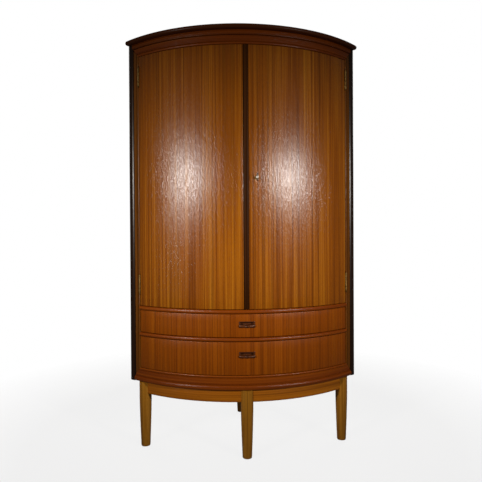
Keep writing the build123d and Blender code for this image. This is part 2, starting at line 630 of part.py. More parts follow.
def build():
    """Every node of the cabinet, by name."""
    nodes = {}
    post = make_post(BASE_BOTTOM, CORNICE_BOTTOM)
    posts = (post, mirrored(post))
    pegs = make_pegs()
    wall = cut(make_wall(BASE_BOTTOM, CORNICE_BOTTOM), *pegs)
    base = moulding(BASE_BACK_R, BASE_R, -SWEEP, SWEEP, BASE_BOTTOM, BASE_TOP, BASE_ROUNDING)
    base = cut(base & between_walls(POST_SUM, BASE_BOTTOM, BASE_TOP), *posts)
    frieze = band(FRAME_BACK_R, FRIEZE_R, -SWEEP, SWEEP, HEAD_TOP, CORNICE_BOTTOM)
    frieze = cut(frieze & between_walls(POST_SUM, HEAD_TOP, CORNICE_BOTTOM), *posts)

    nodes["cornice"] = make_cornice()
    nodes["frieze_rail"] = frieze
    nodes["head_rail"] = band(FRAME_BACK_R, FACE_R, -FACE_ANGLE, FACE_ANGLE, HEAD_BOTTOM, HEAD_TOP)
    nodes["bottom_rail"] = band(FRAME_BACK_R, FACE_R, -FACE_ANGLE, FACE_ANGLE, BASE_TOP, RAIL_TOP)
    nodes["base_moulding"] = base
    for name, low in (("lower", LOWER_BEAD), ("upper", UPPER_BEAD)):
        high = low + BEAD_HEIGHT
        bead = moulding(FRAME_BACK_R, BEAD_R, -FACE_ANGLE, FACE_ANGLE, low, high, BEAD_ROUNDING)
        nodes[f"{name}_bead_rail"] = bead
    nodes["left_post"], nodes["right_post"] = posts[1], posts[0]
    nodes["left_wall_panel"], nodes["right_wall_panel"] = mirrored(wall), wall
    nodes["shelf_pegs"] = both_sides(pegs)
    inner_back = BACK_Y - BACK_T
    nodes["back_panel"] = prism(
        [
            (INNER_SUM - BACK_Y, BACK_Y),
            (BACK_Y - INNER_SUM, BACK_Y),
            (inner_back - INNER_SUM, inner_back),
            (INNER_SUM - inner_back, inner_back),
        ],
        BASE_BOTTOM,
        CORNICE_BOTTOM,
    )

    def inner_board(top):
        return cut(board(top - BOARD, top, FRAME_BACK_R, INNER_SUM, inner_back), *posts)

    nodes["floor_board"] = inner_board(RAIL_TOP)
    nodes["drawer_board"] = inner_board(LOWER_BEAD + BEAD_HEIGHT)
    nodes["door_board"] = inner_board(DOOR_BOTTOM)
    nodes["ceiling_board"] = inner_board(CEILING_TOP)
    for name, z in zip(("lower", "middle", "upper"), SHELF_Z):
        shelf = board(z, z + SHELF_T, SHELF_R, INNER_SUM - SHELF_PLAY, inner_back - SHELF_PLAY)
        nodes[f"{name}_shelf"] = shelf

    stop_r = FRAME_BACK_R - STOP_CLEAR
    stop = band(STOP_R, stop_r, -STOP_ANGLE, STOP_ANGLE, HEAD_BOTTOM - STOP_DROP, CEILING_TOP - BOARD)
    nodes["door_stop"] = stop - make_socket(HEAD_BOTTOM - STOP_DROP - SLIDE_BOLT_THROW, HEAD_TOP)
    nodes["door_board"] = nodes["door_board"] - make_socket(UPPER_BEAD - SLIDE_BOLT_THROW, DOOR_BOTTOM + GAP)

    # Doors, each cut for its hinges; the right one carries the strip and the lock.
    hinge_place = placed(FACE_R, PIVOT_ANGLE)
    knuckle_rooms = [hinge_place * hinge_room(middle) for middle in HINGE_Z.values()]
    frame_screws, door_screws = [], []
    for middle in HINGE_Z.values():
        frame_screws += [hinge_place * s for s in make_hinge_screws(middle, True)]
        door_screws += [hinge_place * s for s in make_hinge_screws(middle, False)]
    frame_leaves = [hinge_place * make_hinge_leaf(middle, True) for middle in HINGE_Z.values()]
    door_leaves = [hinge_place * make_hinge_leaf(middle, False) for middle in HINGE_Z.values()]
    frame_leaves = [cut(leaf, *frame_screws) for leaf in frame_leaves]
    door_leaves = [cut(leaf, *door_screws) for leaf in door_leaves]

    stile = cut(make_stile(), *knuckle_rooms, *frame_leaves, *frame_screws)
    nodes["right_stile"], nodes["left_stile"] = stile, mirrored(stile)

    z0, z1 = DOOR_BOTTOM + GAP, HEAD_BOTTOM - GAP
    key_place = placed(LEAF_R, KEY_ANGLE)
    right = band(FRAME_BACK_R, LEAF_R, STRIP_ANGLE, LEAF_ANGLE, z0, z1)
    right = cut(right, *knuckle_rooms, *door_leaves, *door_screws)
    key_hole = inward_rod(SHANK_R + KEYHOLE_ROOM, 0, -FULL_CUT, LOCK_BACK, KEY_Z)
    right = cut(right, *(key_place * tool for tool in (lock_block(), key_hole, plate_seat())))
    left = band(FRAME_BACK_R, LEAF_R, LEFT_DOOR_ANGLE, LEAF_ANGLE, z0, z1)
    left = mirrored(cut(left, *knuckle_rooms, *door_leaves, *door_screws))
    nodes["left_door_panel"] = left - key_place * strike_block()
    nodes["right_door_panel"] = right
    nodes["meeting_strip"] = make_strip(z0, z1)
    nodes["lock_case"], nodes["escutcheon"] = key_place * make_lock_case(), key_place * make_escutcheon()
    nodes["lock_bolt"], nodes["key"] = key_place * make_lock_bolt(), key_place * make_key()
    nodes["strike_plate"] = key_place * make_strike()
    guides = []
    for name, (low, high) in slide_bolt_spans().items():
        guides += [guide - left for guide in make_bolt_guides(low, high)]
        nodes[f"{name}_slide_bolt"] = make_slide_bolt(low, high)
    nodes["bolt_guides"] = guides

    pins = [hinge_place * make_hinge_pin(middle) for middle in HINGE_Z.values()]
    nodes["frame_hinge_leaves"] = both_sides(frame_leaves)
    nodes["hinge_pins"] = both_sides(pins)
    nodes["frame_hinge_screws"] = both_sides(frame_screws)
    nodes["right_door_hinge_leaves"] = door_leaves
    nodes["left_door_hinge_leaves"] = [mirrored(leaf) for leaf in door_leaves]
    nodes["right_door_hinge_screws"] = door_screws
    nodes["left_door_hinge_screws"] = [mirrored(screw) for screw in door_screws]

    # Drawers and the runners they ride on.
    runners = []
    for name, floor, top in (
        ("upper", LOWER_BEAD + BEAD_HEIGHT, UPPER_BEAD),
        ("lower", RAIL_TOP, LOWER_BEAD),
    ):
        nodes.update(make_drawer(name, floor, top))
        runners.append(block(-RUNNER_HALF, RUNNER_HALF, *RUNNER_Y, floor, floor + RUNNER_HEIGHT))
    nodes["drawer_runners"] = runners

    # Leg frame.
    side_x, side_y = polar(LEG_CIRCLE, SIDE_LEG_ANGLE)
    centre_x, centre_y = polar(LEG_CIRCLE, 0)
    right_leg = make_leg(side_x, side_y, LEG_R, LEG_FOOT_R)
    centre_leg = make_leg(centre_x, centre_y, LEG_R, LEG_FOOT_R)
    rear_leg = make_leg(0, REAR_LEG_Y, REAR_LEG_R, REAR_LEG_FOOT_R)
    apron = band(APRON_BACK_R, APRON_R, 0, SIDE_LEG_ANGLE, APRON_BOTTOM, BASE_BOTTOM)
    apron = cut(apron, right_leg, centre_leg)
    rail = make_side_rail((side_x, side_y), (0, REAR_LEG_Y))
    rail = cut(rail, right_leg, rear_leg)
    nodes["left_leg"], nodes["right_leg"] = mirrored(right_leg), right_leg
    nodes["centre_leg"], nodes["rear_leg"] = centre_leg, rear_leg
    nodes["aprons"] = both_sides([apron])
    nodes["side_rails"] = both_sides([rail])
    return nodes


def write(nodes):
    """One STEP file for each node."""
    os.makedirs("parts", exist_ok=True)
    for name, shape in nodes.items():
        if isinstance(shape, list):
            shape = Compound(children=[s for item in shape for s in item.solids()])
        export_step(shape, f"parts/{name}.step")


if __name__ == "__main__":
    write(build())
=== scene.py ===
# %% [markdown]
# # A bow-front teak corner cabinet
#
# The real cabinet is a three-sided box that stands in a room's corner. Its front is bent on one
# wide arc: two doors, two drawers, the frame round them and every moulding share that arc. So most
# of this lesson is about bending things neatly, and the rest is about teak. The imported model gives
# every size and place; this script only makes finer pieces that stand for its plain ones.
#
# The first cell loads that model and keeps its outer box, which the last cell prints beside the new one.

# %% Load the imported cabinet
import json
from math import asin, atan2, cos, hypot, pi, radians, sin, sqrt

import bmesh
import bpy
from mathutils import Matrix, Vector


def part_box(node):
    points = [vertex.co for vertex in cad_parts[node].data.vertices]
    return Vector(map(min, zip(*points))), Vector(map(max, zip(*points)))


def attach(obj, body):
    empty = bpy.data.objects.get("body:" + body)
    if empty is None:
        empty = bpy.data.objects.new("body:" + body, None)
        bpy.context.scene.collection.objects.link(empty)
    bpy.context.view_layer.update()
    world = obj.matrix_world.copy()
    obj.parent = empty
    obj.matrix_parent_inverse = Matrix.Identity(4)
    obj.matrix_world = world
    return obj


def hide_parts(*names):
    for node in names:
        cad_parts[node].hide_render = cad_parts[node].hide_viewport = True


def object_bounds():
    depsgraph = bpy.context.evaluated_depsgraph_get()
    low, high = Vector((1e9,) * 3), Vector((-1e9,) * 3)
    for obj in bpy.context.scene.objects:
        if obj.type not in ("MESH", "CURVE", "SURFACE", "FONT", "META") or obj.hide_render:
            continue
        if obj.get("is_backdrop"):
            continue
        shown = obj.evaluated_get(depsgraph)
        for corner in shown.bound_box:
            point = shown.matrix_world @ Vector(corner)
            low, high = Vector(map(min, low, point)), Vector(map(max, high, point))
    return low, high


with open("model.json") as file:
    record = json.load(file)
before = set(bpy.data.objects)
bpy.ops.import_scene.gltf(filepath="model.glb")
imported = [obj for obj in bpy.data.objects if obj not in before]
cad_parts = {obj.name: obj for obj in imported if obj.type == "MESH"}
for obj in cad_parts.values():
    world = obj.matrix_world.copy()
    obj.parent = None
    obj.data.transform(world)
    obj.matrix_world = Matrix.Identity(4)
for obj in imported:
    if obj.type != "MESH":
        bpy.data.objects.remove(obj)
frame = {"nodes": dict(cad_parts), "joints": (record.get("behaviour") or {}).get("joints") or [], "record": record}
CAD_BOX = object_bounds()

# %% [markdown]
# ## Measures
#
# A joiner would lay the cabinet out from the centre of its arc, and so does this script. The arc is
# worked out from the head rail: how far its ends are apart, and how much they stand back from its
# middle. Every other radius is then the distance from that centre to a piece's nearest point.

# %% The arc that all the fronts share
def corners(node):
    """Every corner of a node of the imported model."""
    return [v.co for v in frame["nodes"][node].data.vertices]


def arc_of(node):
    """The radius of a curved rail's face, and the y of the axis that it turns about."""
    low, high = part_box(node)
    end = min(v.y for v in corners(node) if v.x > high.x - 1e-5)
    rise = end - low.y
    radius = (high.x**2 + rise**2) / (2 * rise)
    return radius, low.y + radius


FACE_R, AXIS_Y = arc_of("head_rail")


def front_radius(node):
    """The radius of the nearest point of a piece that crosses the middle."""
    return AXIS_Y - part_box(node)[0].y


LEAF_R = front_radius("upper_drawer_front")
FACE_ANGLE = asin(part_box("head_rail")[1].x / FACE_R)
LEAF_ANGLE = asin(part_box("upper_drawer_front")[1].x / LEAF_R)
INNER_R = (AXIS_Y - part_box("head_rail")[1].y) / cos(FACE_ANGLE)
STRIP_ANGLE = asin(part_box("meeting_strip")[1].x / LEAF_R)
DOOR_GAP_ANGLE = asin(-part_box("left_door_panel")[1].x / INNER_R)
WALL_SUM = max(v.x + v.y for v in corners("right_wall_panel"))
POST_SUM = min(v.x + v.y for v in corners("right_post"))
MM = 0.001
print("arc radius", round(FACE_R, 4), "about y =", round(AXIS_Y, 4))


def polar(radius, angle):
    """The plan point at that radius and angle, 0 in the middle and positive to the right."""
    return radius * sin(angle), AXIS_Y - radius * cos(angle)


def wall_angle(radius, total):
    """The angle where an arc meets the 45 degree plane x + y = total."""
    return pi / 4 - asin((AXIS_Y - total) / (sqrt(2) * radius))


def placed(radius, angle, height=0.0):
    """A place on the front: x along the front, y inwards, z up."""
    x, y = polar(radius, angle)
    return Matrix.Translation((x, y, height)) @ Matrix.Rotation(angle, 4, "Z")


def heights(node, gap=0.04):
    """The spans of height that a node's separate solids fill."""
    levels = sorted(v.z for v in corners(node))
    spans = [[levels[0], levels[0]]]
    for z in levels:
        if z - spans[-1][1] > gap:
            spans.append([z, z])
        spans[-1][1] = z
    return spans


def span(node):
    """The lowest and highest z of a node."""
    low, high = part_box(node)
    return low.z, high.z


# %% [markdown]
# ## Making and handing over a piece
#
# A piece starts as lists of points and faces. Its doubles are merged, its faces are turned
# outwards, and every edge that turns by more than a set angle is marked sharp, so that curved faces
# shade softly while corners stay crisp. The record says which body each node rides on, so a piece
# that stands for a node can look it up.

# %% From points to a finished piece
RECORD = frame["record"]
BODY_OF = {n: body for body, nodes in RECORD["behaviour"]["bodies"].items() for n in nodes}
JOINTS = {joint["name"]: joint for joint in frame["joints"]}
SHARP = radians(32)


def tidy_mesh(mesh, sharp=SHARP):
    """Merges doubles, turns the faces outwards and marks the sharp edges."""
    bm = bmesh.new()
    bm.from_mesh(mesh)
    bmesh.ops.remove_doubles(bm, verts=bm.verts, dist=1e-6)
    bmesh.ops.dissolve_degenerate(bm, edges=bm.edges, dist=1e-7)
    bmesh.ops.recalc_face_normals(bm, faces=bm.faces)
    for face in bm.faces:
        face.smooth = True
    for edge in bm.edges:
        edge.smooth = edge.calc_face_angle(0) < sharp
    bm.to_mesh(mesh)
    bm.free()


def piece(name, shells, material, sharp=SHARP):
    """One object from a list of closed shells, each a pair of points and faces."""
    points, faces = [], []
    for shell_points, shell_faces in shells:
        start = len(points)
        points += [tuple(p) for p in shell_points]
        faces += [[start + i for i in face] for face in shell_faces]
    mesh = bpy.data.meshes.new(name)
    mesh.from_pydata(points, [], faces)
    tidy_mesh(mesh, sharp)
    obj = bpy.data.objects.new(name, mesh)
    bpy.context.scene.collection.objects.link(obj)
    obj.data.materials.append(material)
    return obj


def cut_away(obj, cutters):
    """Cuts closed shells out of a piece and leaves it a plain mesh again."""
    tool = piece("Cutter", cutters, obj.data.materials[0])
    cut = obj.modifiers.new("Cut", "BOOLEAN")
    cut.operation, cut.solver, cut.object = "DIFFERENCE", "EXACT", tool
    mesh = bpy.data.meshes.new_from_object(obj.evaluated_get(bpy.context.evaluated_depsgraph_get()))
    obj.modifiers.remove(cut)
    plain, obj.data = obj.data, mesh
    tidy_mesh(mesh)
    used = (tool.data, plain)
    bpy.data.objects.remove(tool)
    for old in used:
        bpy.data.meshes.remove(old)
    return obj


def stands_for(obj, *nodes):
    """Hands a piece over: it rides on the nodes' body, and the nodes are hidden."""
    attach(obj, BODY_OF[nodes[0]])
    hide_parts(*nodes)
    print(obj.name, "stands for", *nodes, "with", len(obj.data.polygons), "faces")
    return obj


def mirrored(shell):
    """The same shell on the left of the cabinet."""
    points, faces = shell
    return [(-p[0], p[1], p[2]) for p in points], [face[::-1] for face in faces]


print("bodies that pieces can ride on:", *sorted(set(BODY_OF.values())))

# %% [markdown]
# ## Three ways to build a shell
#
# Almost every part of a cabinet is a section that runs along something. `loft` joins rings of
# points, for posts, boards and knobs. `turned` spins an outline round an upright axis, as a lathe
# does. `eased_block` is a plain block whose edges have been taken off with a plane, because no
# real edge is perfectly sharp and the light would give a sharp one away.

# %% Loft, lathe and block
def loft(rings):
    """A closed shell through rings of points, with a flat face on each end."""
    count = len(rings[0])
    points = [p for ring in rings for p in ring]
    faces = [list(range(count))[::-1], [len(points) - count + i for i in range(count)]]
    for k in range(len(rings) - 1):
        for i in range(count):
            j = (i + 1) % count
            faces.append([k * count + i, k * count + j, (k + 1) * count + j, (k + 1) * count + i])
    return points, faces


def turned(outline, sides=48, matrix=Matrix.Identity(4)):
    """An outline of (radius, height) spun round the upright axis."""
    rings = []
    for radius, z in outline:
        r = max(radius, 1e-5)
        rings.append([matrix @ Vector((r * cos(2 * pi * i / sides), r * sin(2 * pi * i / sides), z))
                      for i in range(sides)])
    return loft(rings)


def eased_block(low, high, ease, matrix=Matrix.Identity(4)):
    """A block between two corners, with its edges rounded off."""
    bm = bmesh.new()
    bmesh.ops.create_cube(bm, size=1)
    for v in bm.verts:
        v.co = Vector([low[i] if v.co[i] < 0 else high[i] for i in range(3)])
    if ease:
        bmesh.ops.bevel(bm, geom=bm.edges[:], offset=ease, segments=2, profile=0.5, affect="EDGES")
    shell = [matrix @ v.co for v in bm.verts], [[v.index for v in f.verts] for f in bm.faces]
    bm.free()
    return shell


def drop(distance, ease):
    """How far a rounded edge has fallen away, at a distance in from the corner."""
    if distance >= ease:
        return 0.0
    return ease - sqrt(max(ease**2 - (ease - distance)**2, 0.0))


EASE_STEPS = (0.0, 0.12, 0.4, 1.0)


def eased_heights(z0, z1, ease, between=()):
    """Heights of the rings of an upright piece, with the amount that each ring draws in."""
    low = [(z0 + ease * s, drop(ease * s, ease)) for s in EASE_STEPS]
    high = [(z1 - ease * s, drop(ease * s, ease)) for s in reversed(EASE_STEPS)]
    return low + [(z, 0.0) for z in between] + high


def inset_outline(outline, amount):
    """A closed plan outline drawn in by an amount, corner by corner."""
    count = len(outline)
    result = []
    for i in range(count):
        before, here, after = (Vector(outline[(i + d) % count][:2]) for d in (-1, 0, 1))
        u, v = (here - before).normalized(), (after - here).normalized()
        n1, n2 = Vector((-u.y, u.x)), Vector((-v.y, v.x))
        middle = (n1 + n2).normalized()
        result.append(here + middle * amount / max(middle.dot(n1), 0.3))
    return result


def plan_board(outline, z0, z1, ease):
    """A board of any plan, given anticlockwise, with rounded upper and lower edges."""
    rings = []
    for z, inset in eased_heights(z0, z1, ease):
        rings.append([(p.x, p.y, z) for p in inset_outline(outline, inset)])
    return loft(rings)


print("an eased block has", len(eased_block((0, 0, 0), (1, 1, 1), 0.1)[1]), "faces")

# %% [markdown]
# ## Teak, and how to paint grain without a picture
#
# Teak is a warm brown wood with straight, fine grain, darker growth lines and small open pores.
# Grain is noise that has been pulled out along one direction, so each wood here is made of the same
# few layers of stretched noise, from broad figure down to pores. What differs is the direction. On
# the doors the grain stands upright and the pattern is laid round the arc, so that it doesn't smear
# where the front turns away. On the rails it runs along the arc.
#
# The layers need a place measured in metres: across the grain, along it, and into the wood. One
# small node group works that out from Object coordinates for the round fronts.

# %% The place of a point on the round front
def link_math(nodes, links, operation, *values):
    """A Math node fed with sockets or numbers; gives its output."""
    node = nodes.new("ShaderNodeMath")
    node.operation = operation
    for socket, value in zip(node.inputs, values):
        if isinstance(value, (int, float)):
            socket.default_value = value
        else:
            links.new(value, socket)
    return node.outputs[0]


def round_place_group():
    """Object coordinates in; distance round the arc, height and radius out."""
    group = bpy.data.node_groups.new("Place on the round front", "ShaderNodeTree")
    group.interface.new_socket("Position", in_out="INPUT", socket_type="NodeSocketVector")
    for name in ("Round", "Height", "Radius"):
        group.interface.new_socket(name, in_out="OUTPUT", socket_type="NodeSocketFloat")
    nodes, links = group.nodes, group.links
    start, end = nodes.new("NodeGroupInput"), nodes.new("NodeGroupOutput")
    split = nodes.new("ShaderNodeSeparateXYZ")
    links.new(start.outputs[0], split.inputs[0])
    back = link_math(nodes, links, "SUBTRACT", AXIS_Y, split.outputs["Y"])
    angle = link_math(nodes, links, "ARCTAN2", split.outputs["X"], back)
    links.new(link_math(nodes, links, "MULTIPLY", angle, FACE_R), end.inputs["Round"])
    links.new(split.outputs["Z"], end.inputs["Height"])
    x_part = link_math(nodes, links, "POWER", split.outputs["X"], 2.0)
    y_part = link_math(nodes, links, "POWER", back, 2.0)
    total = link_math(nodes, links, "ADD", x_part, y_part)
    links.new(link_math(nodes, links, "SQRT", total), end.inputs["Radius"])
    return group


ROUND_PLACE = round_place_group()
print("the group gives:", *(s.name for s in ROUND_PLACE.interface.items_tree if s.in_out == "OUTPUT"))

# %% [markdown]
# One function builds a wood. `lie` says how the grain lies: "upright round" for the door leaves,
# "round" for curved rails, "upright" for posts, stiles and legs, "wide" for boards across the
# cabinet, "deep" for boards from front to back. `leaf` is the width of one sheet of veneer: every
# second sheet is turned over like a page of a book, so its pattern is the mirror of its
# neighbour's, and each sheet is a little lighter or darker than the next.

# %% A wood material
FIRST_JOINT = 0.61    # share of a leaf that the middle strip hides


def noise(nodes, links, vector, scale, detail, roughness, distortion=0.0):
    """Noise on a place whose three axes are scaled apart."""
    stretch = nodes.new("ShaderNodeVectorMath")
    stretch.operation = "MULTIPLY"
    links.new(vector, stretch.inputs[0])
    stretch.inputs[1].default_value = scale
    texture = nodes.new("ShaderNodeTexNoise")
    texture.inputs["Scale"].default_value = 1.0
    texture.inputs["Detail"].default_value = detail
    texture.inputs["Roughness"].default_value = roughness
    texture.inputs["Distortion"].default_value = distortion
    links.new(stretch.outputs[0], texture.inputs["Vector"])
    return texture.outputs["Fac"]


def spread(nodes, links, value, low, high, to_low=0.0, to_high=1.0):
    """A value taken from one range to another, and held inside it."""
    node = nodes.new("ShaderNodeMapRange")
    links.new(value, node.inputs["Value"])
    for name, number in zip(("From Min", "From Max", "To Min", "To Max"), (low, high, to_low, to_high)):
        node.inputs[name].default_value = number
    return node.outputs["Result"]


def ramp(nodes, links, value, stops):
    """A colour ramp through (place, colour) stops."""
    node = nodes.new("ShaderNodeValToRGB")
    links.new(value, node.inputs[0])
    elements = node.color_ramp.elements
    while len(elements) < len(stops):
        elements.new(0.5)
    for element, (place, colour) in zip(elements, stops):
        element.position = place
        element.color = (*colour, 1.0)
    return node.outputs["Color"]


def mix_colour(nodes, links, blend, factor, first, second):
    """Two colours put together."""
    node = nodes.new("ShaderNodeMix")
    node.data_type, node.blend_type = "RGBA", blend
    for name, value in (("Factor", factor), ("A", first), ("B", second)):
        socket = [s for s in node.inputs if s.name == name and (name == "Factor" or s.type == "RGBA")][0]
        if isinstance(value, (int, float)):
            socket.default_value = value
        elif isinstance(value, tuple):
            socket.default_value = (*value, 1.0)
        else:
            links.new(value, socket)
    return [s for s in node.outputs if s.type == "RGBA"][0]


def grain_place(nodes, links, lie, leaf):
    """The place across, along and into the wood, and a number for each leaf of veneer."""
    coords = nodes.new("ShaderNodeTexCoord")
    if "round" in lie:
        group = nodes.new("ShaderNodeGroup")
        group.node_tree = ROUND_PLACE
        links.new(coords.outputs["Object"], group.inputs[0])
        round_, height, radius = group.outputs
        across, along = (round_, height) if lie == "upright round" else (height, round_)
        into = radius
    else:
        split = nodes.new("ShaderNodeSeparateXYZ")
        links.new(coords.outputs["Object"], split.inputs[0])
        x, y, z = split.outputs
        across, along, into = {"upright": (x, z, y), "wide": (y, x, z), "deep": (x, y, z)}[lie]
    number = None
    if leaf:
        side = link_math(nodes, links, "SIGN", across)
        off_middle = link_math(nodes, links, "ABSOLUTE", across)
        reach = link_math(nodes, links, "ADD", off_middle, leaf * FIRST_JOINT)
        number = link_math(nodes, links, "FLOOR", link_math(nodes, links, "DIVIDE", reach, leaf))
        pair = link_math(nodes, links, "FLOOR", link_math(nodes, links, "DIVIDE", reach, 2 * leaf))
        across = link_math(nodes, links, "PINGPONG", reach, leaf)
        shift = link_math(nodes, links, "ADD", link_math(nodes, links, "MULTIPLY", pair, 3.7),
                          link_math(nodes, links, "MULTIPLY", side, 1.9))
        into = link_math(nodes, links, "ADD", into, shift)
        number = link_math(nodes, links, "ADD", number, link_math(nodes, links, "MULTIPLY", side, 8.5))
    join = nodes.new("ShaderNodeCombineXYZ")
    for socket, value in zip(join.inputs, (across, along, into)):
        links.new(value, socket)
    return join.outputs[0], number


def wood(name, lie, dark, middle, light, leaf=0.0, leaf_tone=0.0, roughness=0.4, specular=0.4,
         figure=1.0, pores=1.0, relief_amount=1.0):
    """A polished wood: broad figure, streaks, fine grain and pores, in colour, gloss and relief."""
    material = bpy.data.materials.new(name)
    material.use_nodes = True
    nodes, links = material.node_tree.nodes, material.node_tree.links
    nodes.clear()
    place, number = grain_place(nodes, links, lie, leaf)
    broad = noise(nodes, links, place, (14 * figure, 0.6, 9), 3, 0.55, 0.4)
    streaks = noise(nodes, links, place, (120 * figure, 0.8, 60), 4, 0.62, 0.25)
    lines = noise(nodes, links, place, (270 * figure, 1.4, 200), 3, 0.65)
    fine = noise(nodes, links, place, (1300, 22, 900), 2, 0.6)
    dashes = noise(nodes, links, place, (2300, 75, 1600), 1, 0.5)

    # Figure first: broad bands carry the streaks, and the streaks carry the lines.
    mixed = link_math(nodes, links, "ADD", link_math(nodes, links, "MULTIPLY", broad, 0.24),
                      link_math(nodes, links, "MULTIPLY", streaks, 0.40))
    mixed = link_math(nodes, links, "ADD", mixed, link_math(nodes, links, "MULTIPLY", lines, 0.36))
    if number is not None:
        random = nodes.new("ShaderNodeTexWhiteNoise")
        random.noise_dimensions = "1D"
        links.new(number, random.inputs["W"])
        step = spread(nodes, links, random.outputs["Value"], 0.0, 1.0, -leaf_tone, leaf_tone)
        mixed = link_math(nodes, links, "ADD", mixed, step)
    colour = ramp(nodes, links, mixed, ((0.33, dark), (0.49, middle), (0.66, light)))
    rings = noise(nodes, links, place, (190 * figure, 0.7, 90), 2, 0.5)
    growth = spread(nodes, links, rings, 0.39, 0.46, 0.4, 1.0)
    grey = nodes.new("ShaderNodeCombineColor")
    for socket in grey.inputs:
        links.new(growth, socket)
    colour = mix_colour(nodes, links, "MULTIPLY", 0.5, colour, grey.outputs[0])
    pore = spread(nodes, links, dashes, 0.60, 0.70, 0.0, 1.0)
    pore_amount = link_math(nodes, links, "MULTIPLY", pore, 0.4 * pores)
    colour = mix_colour(nodes, links, "MIX", pore_amount, colour, tuple(c * 0.35 for c in dark))

    gloss = link_math(nodes, links, "ADD", spread(nodes, links, fine, 0.3, 0.7, -0.05, 0.05),
                      spread(nodes, links, streaks, 0.3, 0.7, -0.03, 0.03))
    gloss = link_math(nodes, links, "ADD", gloss, roughness)
    grooves = noise(nodes, links, place, (460 * figure, 22, 460), 3, 0.6)
    specks = noise(nodes, links, place, (330, 62, 330), 2, 0.6)
    relief = link_math(nodes, links, "ADD", link_math(nodes, links, "MULTIPLY", grooves, 1.6),
                       link_math(nodes, links, "MULTIPLY", specks, 1.8))
    relief = link_math(nodes, links, "SUBTRACT", relief, link_math(nodes, links, "MULTIPLY", pore, 0.2))
    bump = nodes.new("ShaderNodeBump")
    bump.inputs["Strength"].default_value = relief_amount
    bump.inputs["Distance"].default_value = 0.0003
    links.new(relief, bump.inputs["Height"])

    shader = nodes.new("ShaderNodeBsdfPrincipled")
    shader.inputs["Specular IOR Level"].default_value = specular
    links.new(colour, shader.inputs["Base Color"])
    links.new(gloss, shader.inputs["Roughness"])
    links.new(bump.outputs[0], shader.inputs["Normal"])
    output = nodes.new("ShaderNodeOutputMaterial")
    links.new(shader.outputs[0], output.inputs["Surface"])
    return material


# %% [markdown]
# The doors and drawer fronts carry the liveliest figure, in leaves of veneer laid side by side. The
# frame round them is plainer and darker, the posts and the strip between the doors are nearly
# black, the legs are the yellowest, and the drawer boxes are of pale wood. All of them could be one
# wood with a tint, but a tint would keep the contrast between streaks the same, and real woods
# differ most in that. So each gets three colours of its own, from dark line to light streak.

# %% The woods of this cabinet
TEAK_DARK, TEAK_MIDDLE, TEAK_LIGHT = (0.11, 0.022, 0.0006), (0.26, 0.068, 0.0012), (0.46, 0.165, 0.006)
DOOR_TEAK = wood("Door veneer", "upright round", TEAK_DARK, TEAK_MIDDLE, TEAK_LIGHT,
                 leaf=0.17, leaf_tone=0.03, roughness=0.21, specular=0.36)
DRAWER_TEAK = wood("Drawer veneer", "upright round", (0.17, 0.034, 0.0005), (0.26, 0.056, 0.0008),
                   (0.38, 0.098, 0.0015), leaf=0.052, leaf_tone=0.015, roughness=0.3, specular=0.2,
                   figure=1.25)
RAIL_TEAK = wood("Bent teak rails", "round", (0.13, 0.022, 0.0005), (0.21, 0.04, 0.0008),
                 (0.31, 0.072, 0.0015), roughness=0.3, specular=0.25)
STILE_TEAK = wood("Upright teak stiles", "upright", (0.06, 0.016, 0.001), (0.16, 0.048, 0.003),
                  (0.26, 0.085, 0.008), roughness=0.3, specular=0.2)
DARK_UPRIGHT = wood("Dark posts", "upright", (0.008, 0.003, 0.0015), (0.018, 0.007, 0.003),
                    (0.034, 0.013, 0.006), roughness=0.26, specular=0.3, pores=0.2, relief_amount=0.3)
STRIP_WOOD = wood("Dark meeting strip", "upright", (0.022, 0.006, 0.001), (0.045, 0.013, 0.002),
                  (0.07, 0.022, 0.004), roughness=0.45, specular=0.04, pores=0.2, relief_amount=0.3)
DARK_ROUND = wood("Dark bent wood", "round", (0.05, 0.011, 0.001), (0.092, 0.019, 0.002),
                  (0.12, 0.03, 0.004), roughness=0.3, specular=0.2, pores=0.2, relief_amount=0.12)
GRIP_WOOD = wood("Grip wood", "round", (0.03, 0.006, 0.0015), (0.075, 0.018, 0.003), (0.13, 0.036, 0.006),
                 roughness=0.36, pores=0.3)
LEG_WOOD = wood("Leg wood", "upright", (0.23, 0.083, 0.005), (0.41, 0.165, 0.012),
                (0.55, 0.24, 0.026), roughness=0.32, specular=0.25)
BOARD_WIDE = wood("Boards across", "wide", (0.10, 0.03, 0.004), (0.2, 0.068, 0.011), (0.3, 0.12, 0.024),
                  specular=0.3)
BOARD_UPRIGHT = wood("Upright boards", "upright", (0.10, 0.03, 0.004), (0.19, 0.062, 0.01),
                     (0.28, 0.105, 0.02), specular=0.3, figure=0.8)
PALE_DEEP = wood("Drawer sides", "deep", (0.30, 0.18, 0.08), (0.46, 0.30, 0.15), (0.60, 0.43, 0.24),
                 roughness=0.5, specular=0.3)
PALE_WIDE = wood("Drawer backs", "wide", (0.30, 0.18, 0.08), (0.46, 0.30, 0.15), (0.60, 0.43, 0.24),
                 roughness=0.5, specular=0.3)
APRON_TEAK = wood("Apron teak", "round", (0.20, 0.055, 0.002), (0.42, 0.125, 0.004), (0.58, 0.20, 0.010),
                  roughness=0.32, specular=0.25)
print("materials so far:", ", ".join(material.name for material in bpy.data.materials))

# %% [markdown]
# ## Brass and nickel
#
# Old brass fittings are neither bright nor even: handling polishes the high places and the rest
# dulls to brown. A metal gets its colour and gloss from two soft noises, one broad for the dulling
# and one fine for scratches.

